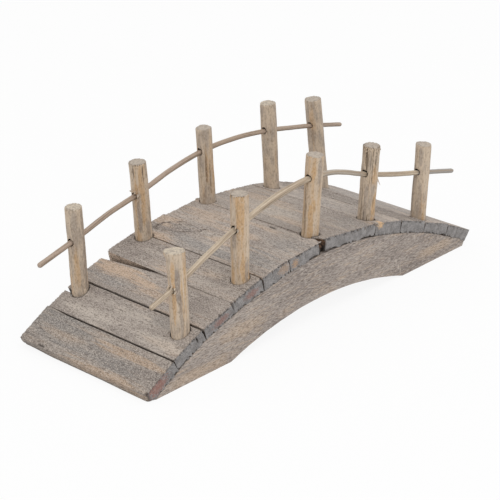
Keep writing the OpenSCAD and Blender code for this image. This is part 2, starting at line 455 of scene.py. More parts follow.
print("finish helpers ready")

# %% [markdown]
# ## The boards' finish
# The boards are cheap rough-sawn softwood that was stained grey and rubbed back. The grain
# runs across the bridge, the sawn ends are cooler and darker, and a few boards have marks of
# their own: honey streaks, a grey band, red-brown stain on the ends, a pale knot. The common
# recipe is one function, and the marks are a list of spots measured from each board's middle.

# %% Paints and marks of the boards
DECK_GREY, DECK_DARK, DECK_PALE = paint("b0a59c"), paint("978d86"), paint("cfc4b8")
DECK_HONEY, DECK_BLUE, KNOT = paint("c8af98"), paint("98938f"), paint("dcb88f")
END_GREY, END_DARK = paint("979493"), paint("807d7c")
END_RED, END_HONEY = paint("966f65"), paint("bd9a7a")
# The first two colours below are painted shade: in the seams between boards, and in chips, dents, tears and
# the posts' reed holes. The third is the wood's own dark fleck.
SEAM_SHADE_PAINT, HOLLOW_SHADE_PAINT, FLECK = paint("3b322b"), paint("2b2521"), paint("574c44")
TORN_BROWN, TORN_ORANGE, SIDE_BROWN = paint("4d3d31"), paint("916a4b"), paint("e2cab5")
WOOD_RELIEF = 0.25 * MM
BOARD_GRAIN = {  # kind: blob sizes mm, detail
    "broad": ((9, 55, 9), 3), "streak": ((2.2, 30, 2.2), 3), "fleck": ((0.55, 3.4, 0.55), 2),
    "speck": ((0.5, 0.8, 0.5), 1), "honey": ((5, 42, 5), 3), "sawn": ((3.5, 3, 3.5), 3),
}
BOARD_SKIN = [  # kind of grain, from, to, share, colour
    ("broad", 0.3, 0.7, 1, DECK_GREY), ("streak", 0.5, 0.75, 0.4, DECK_PALE),
    ("streak", 0.47, 0.25, 0.35, DECK_DARK), ("honey", 0.54, 0.7, 0.5, DECK_HONEY),
]
SAWN_END = [("sawn", 0.35, 0.65, 1, END_GREY)]
TORN_WOOD = [("speck", 0.5, 0.65, 1, TORN_ORANGE)]
# Chips are painted dark by the share below, as painted shade in the hollows they leave.
CHIP_SHADE = (0.2, 0.8, 0, 0.65)
END_SPECKS = [("speck", 0.48, 0.3, 0.45, FLECK), ("speck", 0.55, 0.7, 0.35, DECK_PALE)]
BOARD_TONE = {1: 0.8, 2: 0.96, 5: 1.05, 6: 1.08, 7: 0.97, 8: 1.18, 9: 0.86, 10: 1.25, 11: 1.25}  # others: 1
USUAL_FLECKS = 0.6
ROUGH_BOARDS = {9: 0.95, 4: 0.7}  # share of dark flecks where it is not the usual one
SWIRLS = {5: ((8, 28, 3.5), (4.6, 15, 6), 26)}  # board: centre mm, reach mm, turn in degrees
SWIRL_SHARE, SWIRL_LOOPS, SWIRL_GAPS = 0.9, 8.0, (3.5, 7, 3.5)  # gaps: blob sizes mm
SWIRL_IN, SWIRL_OUT = (0.1, 0.4), (1.35, 0.9)  # where the loops begin and end, in their reach
BOARD_SEED = 3.7
END_FACING, SEAM_FACING = (0.45, 0.8), (0.6, 0.9)  # a face belongs to an end or a seam between these
SEAM_SHARE = 0.9
# The first band is where painted shade in a seam comes in under the upper edge. The second is where painted
# shade deepens in a tear.
SEAM_SHADE_BAND, TEAR_SHADE_BAND = (0.4 * MM, 2.2 * MM), (2 * MM, 5.5 * MM)  # depths under the upper edge
OPEN_BAND, BARE_BAND = (0, 14 * MM), (12 * MM, 36 * MM)  # where board 4's side opens, and gets bare

BOARD_MARKS = {  # board: (colour, strength, centre mm, reach mm)
    1: [(DECK_BLUE, 0.75, (3, 36, 3), (14, 34, 6)), (DECK_BLUE, 0.65, (-3, -12, 3), (7, 44, 6)),
        (DECK_HONEY, 0.45, (0, 26, 3), (5, 22, 6)), (DECK_HONEY, 0.9, (4.8, -26, 3), (3.4, 32, 5)),
        (DECK_HONEY, 0.85, (-11.5, -14, 3), (3.4, 46, 6)), (END_RED, 0.9, (-4, -53, -0.5), (10, 5, 4.5))],
    2: [(DECK_PALE, 0.6, (-6, 20, 3), (6, 26, 6)), (DECK_PALE, 0.45, (5, -10, 3), (6, 40, 6)),
        (DECK_BLUE, 0.5, (8, -32, 3), (6, 22, 6)), (DECK_PALE, 0.6, (-6, -36, 3), (6, 22, 6))],
    3: [(DECK_HONEY, 0.9, (3.5, 28, 3), (8, 34, 6)), (DECK_BLUE, 0.9, (-5, 25, 3), (3.8, 30, 6)),
        (DECK_HONEY, 0.65, (-3, -4, 3), (3.6, 20, 6)), (DECK_DARK, 0.7, (5, -32, 3), (8, 20, 6)),
        (END_RED, 0.7, (1, -53, -1), (8, 5, 2.4))],
    4: [(DECK_DARK, 0.75, (-4, 38, 3), (14, 20, 6)), (DECK_DARK, 0.5, (4, 4, 3), (10, 36, 6)),
        (DECK_HONEY, 0.5, (-7, 0, 3), (4, 22, 6)), (END_RED, 0.7, (3, -53, -1.2), (7, 5, 2.6))],
    5: [(DECK_BLUE, 0.9, (3, -36, 3), (9, 22, 6)), (DECK_BLUE, 0.85, (-5, 6, 3), (7, 36, 6)),
        (DECK_HONEY, 0.6, (7, 47, 3), (7, 14, 6)), (DECK_HONEY, 0.75, (-8, 36, 3), (6, 16, 6)),
        (DECK_BLUE, 0.5, (8, 28, 3), (4, 12, 6)), (DECK_HONEY, 0.6, (8, -2, 3), (4, 16, 6)),
        (END_HONEY, 0.45, (7, -53, 0), (6, 5, 4))],
    6: [(DECK_HONEY, 0.5, (2, 30, 3), (9, 26, 6)), (DECK_BLUE, 0.75, (0, -38, 3), (12, 16, 6)),
        (DECK_HONEY, 0.5, (-6, -4, 3), (4, 20, 6)), (END_HONEY, 0.75, (-9.6, -53, -0.5), (3.2, 5, 3.4))],
    7: [(DECK_PALE, 0.5, (-4, 10, 3), (18, 36, 6)), (DECK_HONEY, 0.5, (8, 24, 3), (8, 34, 6)),
        (DECK_HONEY, 0.5, (-14, -20, 3), (6, 20, 6)), (DECK_BLUE, 0.5, (14, -42, 3), (14, 14, 6))],
    8: [(DECK_BLUE, 0.4, (0, 0, 3), (14, 46, 6)), (KNOT, 1.0, (-8.4, -52, 3), (3.4, 4.4, 2.8))],
    9: [(DECK_DARK, 0.6, (0, 20, 3), (14, 50, 6))],
    10: [(DECK_BLUE, 0.7, (2, 10, 3), (16, 60, 6)), (DECK_DARK, 0.8, (-12, 20, 3), (6, 50, 6))],
    11: [(DECK_BLUE, 0.6, (0, 0, 3), (14, 60, 6)), (DECK_HONEY, 0.4, (-6, -40, 3), (5, 16, 6))],
}
print("marks on the boards:", sum(len(marks) for marks in BOARD_MARKS.values()))

# %% Board finish
def swirl(tree, spot, centre, reach, turn, wobble):
    """Dark, broken loops round a knot that lies just under the surface."""
    away = distance(tree, spot, centre, reach, wobble, turn)
    loops = math_node(tree, "SINE", product(tree, away, SWIRL_LOOPS))
    near = product(tree, fade(tree, away, *SWIRL_IN), fade(tree, away, *SWIRL_OUT))
    broken = fade(tree, grain(tree, spot, SWIRL_GAPS, turn), 0.33, 0.5)
    return product(tree, product(tree, fade(tree, loops, -0.2, 1.0), near), broken)


def board_skin(tree, spot, number, noises):
    """The faces that show grain: the common recipe, the board's own marks, tone and flecks."""
    colour = washes(tree, DECK_DARK, noises, BOARD_SKIN)
    for over, strength, centre, reach in BOARD_MARKS[number]:
        if over not in (END_RED, END_HONEY):
            colour = stain(tree, colour, over, strength, spot, centre, reach, noises["streak"])
    if number in SWIRLS:
        loops = swirl(tree, spot, *SWIRLS[number], noises["broad"])
        colour = tint(tree, product(tree, loops, SWIRL_SHARE), colour, FLECK)
    tone = BOARD_TONE.get(number, 1.0)
    colour = tint(tree, 1.0, colour, (tone, tone, tone, 1), "MULTIPLY")
    rough = ROUGH_BOARDS.get(number, USUAL_FLECKS)
    return washes(tree, colour, noises, [
        ("fleck", 0.5, 0.28, rough, FLECK), ("speck", 0.47, 0.32, rough, FLECK),
        ("speck", 0.5, 0.68, 0.6, DECK_PALE)])


def board_ends(tree, spot, number, noises):
    """The sawn ends, with the stains that lie on them."""
    colour = washes(tree, END_DARK, noises, SAWN_END)
    for over, strength, centre, reach in BOARD_MARKS[number]:
        if over in (END_RED, END_HONEY, KNOT):
            colour = stain(tree, colour, over, strength, spot, centre, reach, noises["fleck"])
    return washes(tree, colour, noises, END_SPECKS)


def paint_seam_shade(tree, colour, number, turn, x, y, below, speck):
    """Painted shade on the long sides, in the seams between boards, from a little under the upper edge."""
    seam_shade = fade(tree, below, *SEAM_SHADE_BAND)
    wall = SEAM_SHADE_PAINT
    if number in (1, 11):  # the outer side of an end board faces no seam and gets no painted shade
        inward = 1 if number == 1 else -1
        seam_shade = product(tree, seam_shade, fade(tree, x, -inward * MM, inward * MM))
    if number == 4:  # its left side shows at the far end, where board 3 is sawn at a slant
        # In the open part, painted shade reaches the upper edge. Further towards the far end the side turns
        # to bare wood.
        open_part = product(tree, fade(tree, x, MM, -MM), fade(tree, y, *OPEN_BAND))
        seam_shade = math_node(tree, "MAXIMUM", seam_shade, open_part)
        bare = tint(tree, fade(tree, speck, 0.3, 0.55), SEAM_SHADE_PAINT, SIDE_BROWN)
        wall = tint(tree, fade(tree, y, *BARE_BAND), SEAM_SHADE_PAINT, bare)
    # Painted shade on the faces that look across the bridge, into the seams.
    seam = fade(tree, facing(tree, turn, (1, 0, 0)), *SEAM_FACING, 0, SEAM_SHARE)
    return tint(tree, product(tree, seam, seam_shade), colour, wall)


def board_finish(number, board):
    turn, slope = board["turn"], board["slope"]
    material, tree, spot = wood(f"board_{number}_wood", board["centre"], turn)
    noises = grains(tree, spot, number * BOARD_SEED, BOARD_GRAIN)
    colour = board_skin(tree, spot, number, noises)
    ends = board_ends(tree, spot, number, noises)
    colour = tint(tree, fade(tree, facing(tree, turn, (0, 1, 0)), *END_FACING), colour, ends)
    x, y, z = add_node(tree, "SeparateXYZ", {0: spot}).outputs
    top = math_node(tree, "MULTIPLY_ADD", x, slope[0], board["size"].z / 2)
    top = math_node(tree, "MULTIPLY_ADD", y, slope[1], top)
    below = math_node(tree, "SUBTRACT", top, z)
    colour = paint_seam_shade(tree, colour, number, turn, x, y, below, noises["speck"])
    torn = washes(tree, TORN_BROWN, noises, TORN_WOOD)
    # Painted shade deeper in the tear.
    torn = tint(tree, fade(tree, below, *TEAR_SHADE_BAND), torn, HOLLOW_SHADE_PAINT)
    colour = tint(tree, noted(tree, "torn"), colour, torn)
    # Painted shade in chips, dents and round the posts' feet.
    colour = tint(tree, fade(tree, noted(tree, "chipped"), *CHIP_SHADE), colour, HOLLOW_SHADE_PAINT)
    coat(tree, colour, math_node(tree, "ADD", noises["fleck"], noises["streak"]), WOOD_RELIEF)
    return material


def number_of(name):
    return int(name.split("_")[-1])


board_finishes = {name: board_finish(number_of(name), board) for name, board in boards.items()}
print("board finishes:", len(board_finishes))

# %% [markdown]
# ## The boards
# Each board is a cube stretched to its measured size and tilted on to the arc. Its four upper
# corners are moved to the measured wedge, its underside is let down to the seat line that the
# picture shows, a little under the CAD's, and a corner edge is pulled in where board 3 was
# sawn at a slant and board 7 lost a piece. The cube is then ruled into a fine lattice, bored
# for the posts with a Boolean, and noises push grain into it and break little chips from the
# sawn arrises. A voxel remesh would also give enough vertices, but it rounds every arris.

# %% Sizes for the boards
HOLE_ROOM = 0.5 * MM
SPLIT_WIDTH = 2.6 * MM
END_ZONE = 7 * MM
END_UNDERCUT = 1.6 * MM
NOSE_FLAT = 4 * MM  # over this width the first board lies level on the ground
SEAT_SAG = [  # place along the bridge in metres, depth in mm of the seat under the CAD's
    (-0.147, 0.4), (-0.1435, 2.7), (-0.124, 2.4), (-0.1006, 1.4), (-0.076, 1.9), (-0.051, 2.0),
    (-0.026, 1.0), (0, 0.4), (0.051, 1.2), (0.076, 1.7), (0.1006, 1.6), (0.124, 1.5), (0.147, 1.2),
]
FINE, PLAIN = 0.55 * MM, 1.0 * MM
ROUND_SIDES = 48
MOSTLY = 0.8  # share of an edge's length that runs along an axis
SEAM_FLARE = {1: -0.15, 2: -0.3, 3: 0.44, 4: -0.1, 5: 0.42, 6: 0.66, 7: 0.3}  # seam after board: mm
CORNER_DROP = {"board_4": {(1, 1): 1.1 * MM, (-1, 1): -1.2 * MM}}  # upper corner, by signs: how much lower
LOST_CORNERS = {  # board: corner signs, width lost (below 0: added), its length, lowest share of height
    "board_1": ((1, 1), -0.95 * MM, 18 * MM, 0),
    "board_3": ((1, 1), 5.1 * MM, 44 * MM, -2),
    "board_7": ((-1, -1), 3.6 * MM, END_ZONE, -2),
}
SPLIT_HEIGHT = 6  # in board thicknesses, so that it cuts right through
print("seat lowered by up to", max(depth for place, depth in SEAT_SAG), "mm")

# %% Tools for shaping
def bench_cube(name, size):
    cube = add_new(name, bpy.ops.mesh.primitive_cube_add, size=1)
    cube.scale = size
    settle(cube)
    return cube


def put_in_place(piece, centre, turn):
    piece.matrix_world = Matrix.Translation(centre) @ turn.to_4x4()
    settle(piece)


def pick(piece, kind, chosen):
    """In edit mode, selects only the vertices, edges or faces that a test chooses."""
    bpy.ops.mesh.select_mode(type=kind)
    bpy.ops.mesh.select_all(action="DESELECT")
    shape = bmesh.from_edit_mesh(piece.data)
    parts = {"VERT": shape.verts, "EDGE": shape.edges, "FACE": shape.faces}[kind]
    for part in parts:
        if chosen(part):
            part.select_set(True)
    shape.select_flush_mode()
    bmesh.update_edit_mesh(piece.data)


def along_axis(edge, axis):
    way = edge.verts[1].co - edge.verts[0].co
    return abs(way[axis]) > MOSTLY * way.length


def rule(piece, axis, low, high, step):
    """Divides the edges that run along an axis, between two places, into steps."""
    def chosen(edge):
        middle = (edge.verts[0].co[axis] + edge.verts[1].co[axis]) / 2
        return along_axis(edge, axis) and low < middle < high
    pick(piece, "EDGE", chosen)
    bpy.ops.mesh.subdivide(number_cuts=max(1, round((high - low) / step) - 1))


def flare(piece, half, way, amount):
    """Moves the upper edge of one long side outwards, so that the seam closes on top."""
    pick(piece, "VERT", lambda v: v.co.x * way > half.x - CLOSE and v.co.z > 0)
    bpy.ops.transform.translate(value=(way * amount, 0, 0))


def cylinder(name, foot, axis, radius, length, start=0):
    """A cylinder along an axis, to bore with or to shape."""
    new = add_new(name, bpy.ops.mesh.primitive_cylinder_add, vertices=ROUND_SIDES, radius=radius,
                  depth=length, location=foot + axis * (start + length / 2),
                  rotation=axis.to_track_quat("Z", "Y").to_euler())
    settle(new)
    return new


def cut_away(piece, tool):
    finish_with(piece, "BOOLEAN", object=tool, operation="DIFFERENCE", solver="MANIFOLD")
    bpy.data.objects.remove(tool)


def holds(board, post):
    """Whether the post's line passes through the board, or close beside it."""
    for height in (-0.5, 0.5):
        level = board["centre"] + board["turn"] @ Vector((0, 0, height * board["size"].z))
        up = board["turn"] @ Vector((0, 0, 1))
        reach = (level - post["foot"]).dot(up) / post["axis"].dot(up)
        local = board["turn"].transposed() @ (post["foot"] + post["axis"] * reach - board["centre"])
        if abs(local.x) < board["size"].x / 2 + post["radius"] + HOLE_ROOM:
            return True
    return False


def wedge(piece, half, slope, drops):
    """Moves the four upper corners to the board's own sloping top."""
    for side in (-1, 1):
        for end in (-1, 1):
            pick(piece, "VERT", lambda v: v.co.x * side > 0 and v.co.y * end > 0 and v.co.z > 0)
            rise = slope[0] * side * half.x + slope[1] * end * half.y - drops.get((side, end), 0)
            bpy.ops.transform.translate(value=(0, 0, rise))


def saw(axis, place):
    """Divides the whole blank with one straight cut square to an axis."""
    square = Vector((0, 0, 0))
    square[axis] = 1
    bpy.ops.mesh.select_all(action="SELECT")
    bpy.ops.mesh.bisect(plane_co=square * place, plane_no=square)
    return place


def pull_in(piece, half, corner, width, lowest):
    """Pulls the upright edge at one corner, or only its upper end, inwards along the bridge."""
    pick(piece, "VERT", lambda v: v.co.x * corner[0] > half.x - MM
         and v.co.y * corner[1] > half.y - CLOSE and v.co.z > lowest)
    bpy.ops.transform.translate(value=(-corner[0] * width, 0, 0))


print("shaping tools ready")

# %% Board blanks
def sag_at(x):
    """How far the seat lies under the CAD's at a place along the bridge."""
    places, depths = zip(*SEAT_SAG)
    return np.interp(x, places, depths) * MM


def seat_line(name, board):
    """Places across a board, and how far its underside lies under the CAD's there."""
    half, turn = board["size"] / 2, board["turn"]
    places = [-half.x] + [NOSE_FLAT - half.x] * (name == "board_1") + [half.x]
    seats = [board["centre"] + turn @ Vector((place, 0, -half.z)) for place in places]
    return places, [float(sag_at(seat.x)) * turn[2][2] for seat in seats]


def shape_board(name, board, blank):
    """In edit mode: the wedge, the seams' edges, the lowered underside and the lost corner."""
    number = number_of(name)
    half = board["size"] / 2
    wedge(blank, half, board["slope"], CORNER_DROP.get(name, {}))
    flare(blank, half, 1, SEAM_FLARE.get(number, 0) * MM)
    flare(blank, half, -1, SEAM_FLARE.get(number - 1, 0) * MM)
    across, drops = seat_line(name, board)
    for place in across[1:-1]:
        saw(0, place)
    for place, drop in zip(across, drops):
        pick(blank, "VERT", lambda v: abs(v.co.x - place) < CLOSE and v.co.z < 0)
        bpy.ops.transform.translate(value=(0, 0, -drop))
    if name == "board_11":
        pick(blank, "VERT", lambda v: v.co.x > 0 and v.co.z < 0)
        bpy.ops.transform.translate(value=(-END_UNDERCUT, 0, 0))
    places = [-half.y, half.y]
    if name in LOST_CORNERS:
        corner, width, length, lowest = LOST_CORNERS[name]
        places.append(saw(1, corner[1] * (half.y - length)))
        pull_in(blank, half, corner, width, lowest * half.z)
    places += [saw(1, end * (half.y - END_ZONE)) for end in (-1, 1)]
    places = sorted(set(round(p, 7) for p in places))
    for low, high in zip(places, places[1:]):
        rule(blank, 1, low, high, FINE if high - low < END_ZONE + MM else PLAIN)
    for low, high in zip(across, across[1:]):
        rule(blank, 0, low, high, FINE)
    rule(blank, 2, -half.z - max(drops), half.z, FINE)


def board_blank(name, board):
    size = board["size"]
    blank = bench_cube(name + "_weathered", size)
    take(blank)
    bpy.ops.object.mode_set(mode="EDIT")
    shape_board(name, board, blank)
    bpy.ops.object.mode_set(mode="OBJECT")
    put_in_place(blank, board["centre"], board["turn"])
    for post in posts.values():
        if holds(board, post):
            cut_away(blank, cylinder("post_bit", post["foot"], post["axis"],
                                     post["radius"] + HOLE_ROOM, post["length"]))
    if name == "board_2":
        reach = size.y / 2
        split = bench_cube("split", (SPLIT_WIDTH, reach, SPLIT_HEIGHT * size.z))
        middle = posts["back_post_1"]["foot"] + Vector((0, reach / 2, size.z))
        put_in_place(split, middle, board["turn"])
        cut_away(blank, split)
    return blank


blanks = {name: board_blank(name, board) for name, board in boards.items()}
print("board blanks:", {name: len(blank.data.polygons) for name, blank in blanks.items()})

# %% [markdown]
# ## Wear of the boards
# The real boards are chipped along their sawn ends, dented here and there, and torn where
# boards 6 and 7 meet at the front. Sculpting would give that too, but no one could repeat it.
# Here weights say where wear may come, and Displace modifiers take the wood away there.

# %% Wear of the boards
ARRIS_REACH = 2.0 * MM
CHIP_DEPTH = 1.15
CHIPS = (chip_noise, -CHIP_DEPTH, 0, (1.2, 1.2, 4), "arris")  # noise, depth mm, middle, blob mm, where
TEARS = (swell_noise, -1.6, 0.2, (1.5, 1.5, 5), "torn_edge")
FIBRES = (fibre_noise, 0.3, 0.5, (1.7, 18, 1.7), "shown")
SWELLING = (swell_noise, 0.4, 0.5, (16, 60, 16), "shown")
BOARD_NOISE_STEP = Vector((0.013, 0.021, 0.017))  # from one board's place in the noises to the next
CHIPPED = {2: 0.8, 3: 0.85, 4: 1.0, 5: 1.0, 6: 1.0, 7: 1.0}  # board: share of chips if not the usual one
USUAL_CHIPS, LOWER_CHIPS, BACK_CHIPS = 0.65, 0.8, 0.3
TOP_BAND, END_BAND, TORN_BAND = 2 * MM, 1.5 * MM, 1.2 * MM  # depths over which grain or tearing fades
ARRIS_DEEPER = 0.6  # chips reach further down an end than along the top
TORN_SOFT = (0.4, 2.0)  # share of the width, and mm of the length, over which tearing begins
SHADE_SPREAD = 1.2  # painted shade lies a little wider than a dent
# Painted shade round the posts where they go through the boards: its reach, its usual share, and the share
# by post.
FOOT_SHADE_REACH = 1.2 * MM
USUAL_FOOT_SHADE = 0.4
FOOT_SHADE = {"front_post_3": 1.0, "front_post_4": 0.8, "back_post_2": 0.7, "back_post_1": 0.8}
BOARD_DENTS = {  # board: (centre mm, reach mm, depth mm, share of painted shade); below 0 it swells
    "board_1": [((-12.7, -12, 3.2), (1.8, 70, 1.6), 0.5, 0), ((-12.7, -53, 2), (3.4, 3.4, 14), 1.1, 0.6),
                ((-11.9, 35, 3.2), (0.8, 4.6, 2), 0.7, 1), ((-12.7, -44, -3.4), (2.5, 36, 2.5), -0.5, 0),
                ((-12.7, 50, -3.1), (2.5, 24, 2.5), 0.8, 0)],
    "board_2": [((7, -53, 1), (0.8, 2, 4), 0.9, 1)],
    "board_3": [((12.7, -53, 2), (1.6, 3, 6), 0.8, 1), ((2, -53, 3.3), (1.2, 2.4, 2.2), 0.8, 1)],
    "board_4": [((-12.7, 53, 3), (2.4, 2.4, 20), 0.8, 0)],
    "board_6": [((11.8, -15.5, 3.8), (1.1, 4.6, 2), 1.0, 1), ((7, -53, -4.1), (6, 3, 2.3), 1.3, 1)],
    "board_7": [((-17, -3, 3.8), (5, 1.2, 2), 0.8, 0.5), ((-14, -53, -3.9), (4, 3, 2.0), 1.1, 1),
                ((-4, -53, -4.1), (5, 3, 1.8), 1.0, 1), ((17, -53, -4.4), (2.4, 2.5, 1.4), 0.8, 1)],
    "board_9": [((-10, 12, 3.3), (2, 6, 2), 0.5, 0)],
    "board_10": [((10, -53, -4.5), (3.6, 2.5, 2), 1.3, 1), ((-6, -53, -4.6), (2, 2.5, 1.6), 1.0, 1)],
}
TORN_EDGES = {  # board: signs of the torn corner, and its width and length in mm
    "board_6": ((1, -1), 2.2, 5.0), "board_7": ((-1, -1), 4.6, 7.0),
}
print("dents:", sum(len(dents) for dents in BOARD_DENTS.values()), "torn edges:", len(TORN_EDGES))

# %% Weathered boards
def smooth(value):
    value = np.clip(value, 0, 1)
    return value * value * (3 - 2 * value)


def dress(piece, finish, node):
    """Gives a finished piece its shading, its wood and its place in the frame."""
    piece.vertex_groups.clear()
    take(piece)
    bpy.ops.object.shade_smooth_by_angle(angle=math.radians(40))
    piece.data.materials.clear()
    piece.data.materials.append(finish)
    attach(piece, "root")
    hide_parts(node)


def mark_wear(name, board, piece, flat):
    """Marks the arrises that chip and the faces that show grain, and returns the depth under the top."""
    half, slope = board["size"] / 2, board["slope"]
    to_end = half.y - np.abs(flat[:, 1])
    to_top = half.z + flat[:, 0] * slope[0] + flat[:, 1] * slope[1] - flat[:, 2]
    to_seat = flat[:, 2] + half.z + np.interp(flat[:, 0], *seat_line(name, board))
    upper = smooth(1 - np.hypot(to_end, ARRIS_DEEPER * to_top) / ARRIS_REACH)
    lower = smooth(1 - np.hypot(to_end, to_seat) / ARRIS_REACH)
    arris = np.maximum(upper * CHIPPED.get(number_of(name), USUAL_CHIPS), lower * LOWER_CHIPS)
    arris[flat[:, 1] > 0] *= BACK_CHIPS
    mark(piece, "arris", arris)
    mark(piece, "shown", np.clip(smooth(1 - to_top / TOP_BAND) + smooth(1 - to_end / END_BAND), 0, 1))
    return to_top


def tear_edge(name, board, piece, flat):
    """Tears a board's corner, and returns how far each vertex is torn."""
    if name not in TORN_EDGES:
        return np.zeros(len(flat))
    corner, width, length = TORN_EDGES[name]
    half = board["size"] / 2
    past_side = (corner[0] * flat[:, 0] - half.x) / MM + width
    past_end = (corner[1] * flat[:, 1] - half.y) / MM + length
    torn = smooth(past_side / (TORN_SOFT[0] * width)) * smooth(past_end / TORN_SOFT[1])
    mark(piece, "torn_edge", torn)
    push(piece, board["centre"], board["turn"], *TEARS)
    return torn


def dent(name, piece, flat):
    """Presses the board's dents in, and returns the painted shade in them."""
    dark = np.zeros(len(flat))
    for centre, reach, depth, shade_share in BOARD_DENTS.get(name, []):
        away = np.linalg.norm((flat / MM - np.array(centre)) / np.array(reach), axis=1)
        group = mark(piece, "dent", smooth(1 - away))
        finish_with(piece, "DISPLACE", strength=-depth * MM, mid_level=0, vertex_group=group.name)
        dark = np.maximum(dark, shade_share * smooth(SHADE_SPREAD - away))
    return dark


# Painted shade in a ring round each post that goes through the board.
def shade_round_posts(board, points):
    dark = np.zeros(len(points))
    for name, post in posts.items():
        if holds(board, post):
            off = along_and_off(points, post["foot"], post["axis"])[1]
            ring = smooth(1 - (off - post["radius"] - HOLE_ROOM) / FOOT_SHADE_REACH)
            dark = np.maximum(dark, FOOT_SHADE.get(name, USUAL_FOOT_SHADE) * ring)
    return dark


def weather_board(name, board, piece):
    centre, turn = board["centre"], board["turn"]
    in_noise = centre + BOARD_NOISE_STEP * number_of(name)
    before = coordinates(piece)
    flat = (before - np.array(centre)) @ np.array(turn)
    to_top = mark_wear(name, board, piece, flat)
    push(piece, in_noise, turn, *CHIPS)
    chipped = np.linalg.norm(coordinates(piece) - before, axis=1) / (CHIP_DEPTH * MM)
    torn = tear_edge(name, board, piece, flat)
    note(piece, "torn", torn * smooth(to_top / TORN_BAND))
    push(piece, in_noise, turn, *FIBRES)
    push(piece, in_noise, turn, *SWELLING)
    # Painted shade: in the chips, the dents and the rings round the posts.
    dark = np.maximum(dent(name, piece, flat), shade_round_posts(board, before))
    note(piece, "chipped", np.maximum(chipped, dark))
    dress(piece, board_finishes[name], name)


for name, board in boards.items():
    weather_board(name, board, blanks[name])
print("faces on a board:", len(blanks["board_2"].data.polygons))

# %% [markdown]
# ## The stringers' finish
# The two planks are the deck's stained wood with the grain along the bridge. The front one has
# rubbed, tan areas near its feet and a few pale scratches. It needs no recipe of its own: the
# same helpers draw the noises out along the plank and lay other washes and stains on them.

# %% Stringer finish
STRINGER_GREY, STRINGER_DARK, STRINGER_DEEP = paint("b0a59d"), paint("958b85"), paint("7f766f")
STRINGER_TAN = paint("c7b19b")
STRINGER_GRAIN = {  # kind: blob sizes mm, detail
    "broad": ((48, 8, 7), 3), "streak": ((13, 2, 1.2), 3), "fleck": ((3.2, 0.6, 0.55), 2),
    "speck": ((0.8, 0.5, 0.5), 1),
}
STRINGER_BASE = [("broad", 0.3, 0.7, 1, STRINGER_GREY)]
STRINGER_SKIN = [  # kind of grain, from, to, share, colour
    ("streak", 0.5, 0.72, 0.65, STRINGER_TAN), ("streak", 0.47, 0.3, 0.45, STRINGER_DEEP),
    ("fleck", 0.5, 0.28, 0.7, FLECK), ("speck", 0.47, 0.32, 0.45, FLECK),
    ("fleck", 0.5, 0.68, 0.65, DECK_PALE),
]
STAIN_SHARE = 0.7
TAN_AREAS = {  # side: (centre mm, reach mm)
    FRONT: [((-108, -53, 4), (36, 6, 5)), ((-70, -53, 18), (24, 6, 6)), ((112, -53, 8), (22, 6, 4))],
    BACK: [],
}
SCRATCHES = {
    FRONT: [((73, -52.8, 12), (0.5, 4, 2.6)), ((77.5, -52.8, 5), (0.5, 4, 3.4)),
            ((75.4, -52.8, 8), (0.4, 4, 2))],
    BACK: [],
}


def stringer_finish(side, seed):
    material, tree, spot = wood(f"{side}_stringer_wood", Vector(), Matrix.Identity(3))
    noises = grains(tree, spot, seed, STRINGER_GRAIN)
    colour = washes(tree, STRINGER_DARK, noises, STRINGER_BASE)
    for area in TAN_AREAS[side]:
        colour = stain(tree, colour, STRINGER_TAN, STAIN_SHARE, spot, *area, noises["streak"])
    colour = washes(tree, colour, noises, STRINGER_SKIN)
    for area in SCRATCHES[side]:
        colour = stain(tree, colour, DECK_PALE, STAIN_SHARE, spot, *area, noises["speck"])
    coat(tree, colour, math_node(tree, "ADD", noises["fleck"], noises["streak"]), WOOD_RELIEF)
    return material


print("front stringer: tan areas", len(TAN_AREAS[FRONT]), "scratches", len(SCRATCHES[FRONT]))

# %% [markdown]
# ## The stringers
# A stringer is one plank sawn to a curve above and an arch below. A cylinder cut by Booleans
# gives the outline, but leaves one huge face that no noise can move. So a flat grid is taken
# instead: its rows are drawn between the arch and the curved top, which is let down with the
# boards' undersides, it is extruded to the plank's thickness, and the sockets are bored along
# the posts' own lines. The radii come from circles fitted to the CAD outline.

# %% Shaping a stringer
SOCKET_ROOM = 0.1 * MM
GRID_LENGTH, GRID_HEIGHT, FOOT_CELLS = 300, 26, 64
RIGHT_TOE = 1.4 * MM  # the right toe stops short, under the undercut end of the last board
TOE_LIFT, TOE_START = 0.35 * MM, 0.128  # and rises to it, since the board is straight and the top a curve
THINNEST_TOE = 0.4 * MM
FACES_UP, FACES_LOW, FLAT_FOOT = 0.6, -0.6, -0.99999  # upward part of a normal: top, arch, feet
FACE_BAND, CLEAN_FOOT = 0.1 * MM, 0.4  # the lowest part, in mm, stays flat on the ground
STRINGER_SEED = {FRONT: 11.0, BACK: 47.0}
STRINGER_FIBRES = (fibre_noise, 0.36, 0.5, (20, 1.9, 1.9), "sawn_face")
STRINGER_IN_NOISE = Vector((0.01, 0.02, 0.03))


def circle_through(points):
    """Middle and radius of a circle through points (x, z)."""
    x, z = points[:, 0], points[:, 1]
    fit = np.linalg.lstsq(np.column_stack([2 * x, 2 * z, np.ones(len(z))]), x * x + z * z, rcond=None)[0]
    return fit[0], fit[1], math.sqrt(fit[2] + fit[0] ** 2 + fit[1] ** 2)


def outline_points(node, outer, faces_up):
    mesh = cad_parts[node].data
    found = [mesh.vertices[v].co for f in mesh.polygons for v in f.vertices
             if (f.normal.z > FACES_UP if faces_up else FLAT_FOOT < f.normal.z < FACES_LOW)]
    return np.array([(p.x, p.z) for p in found if abs(p.y - outer) < CLOSE])


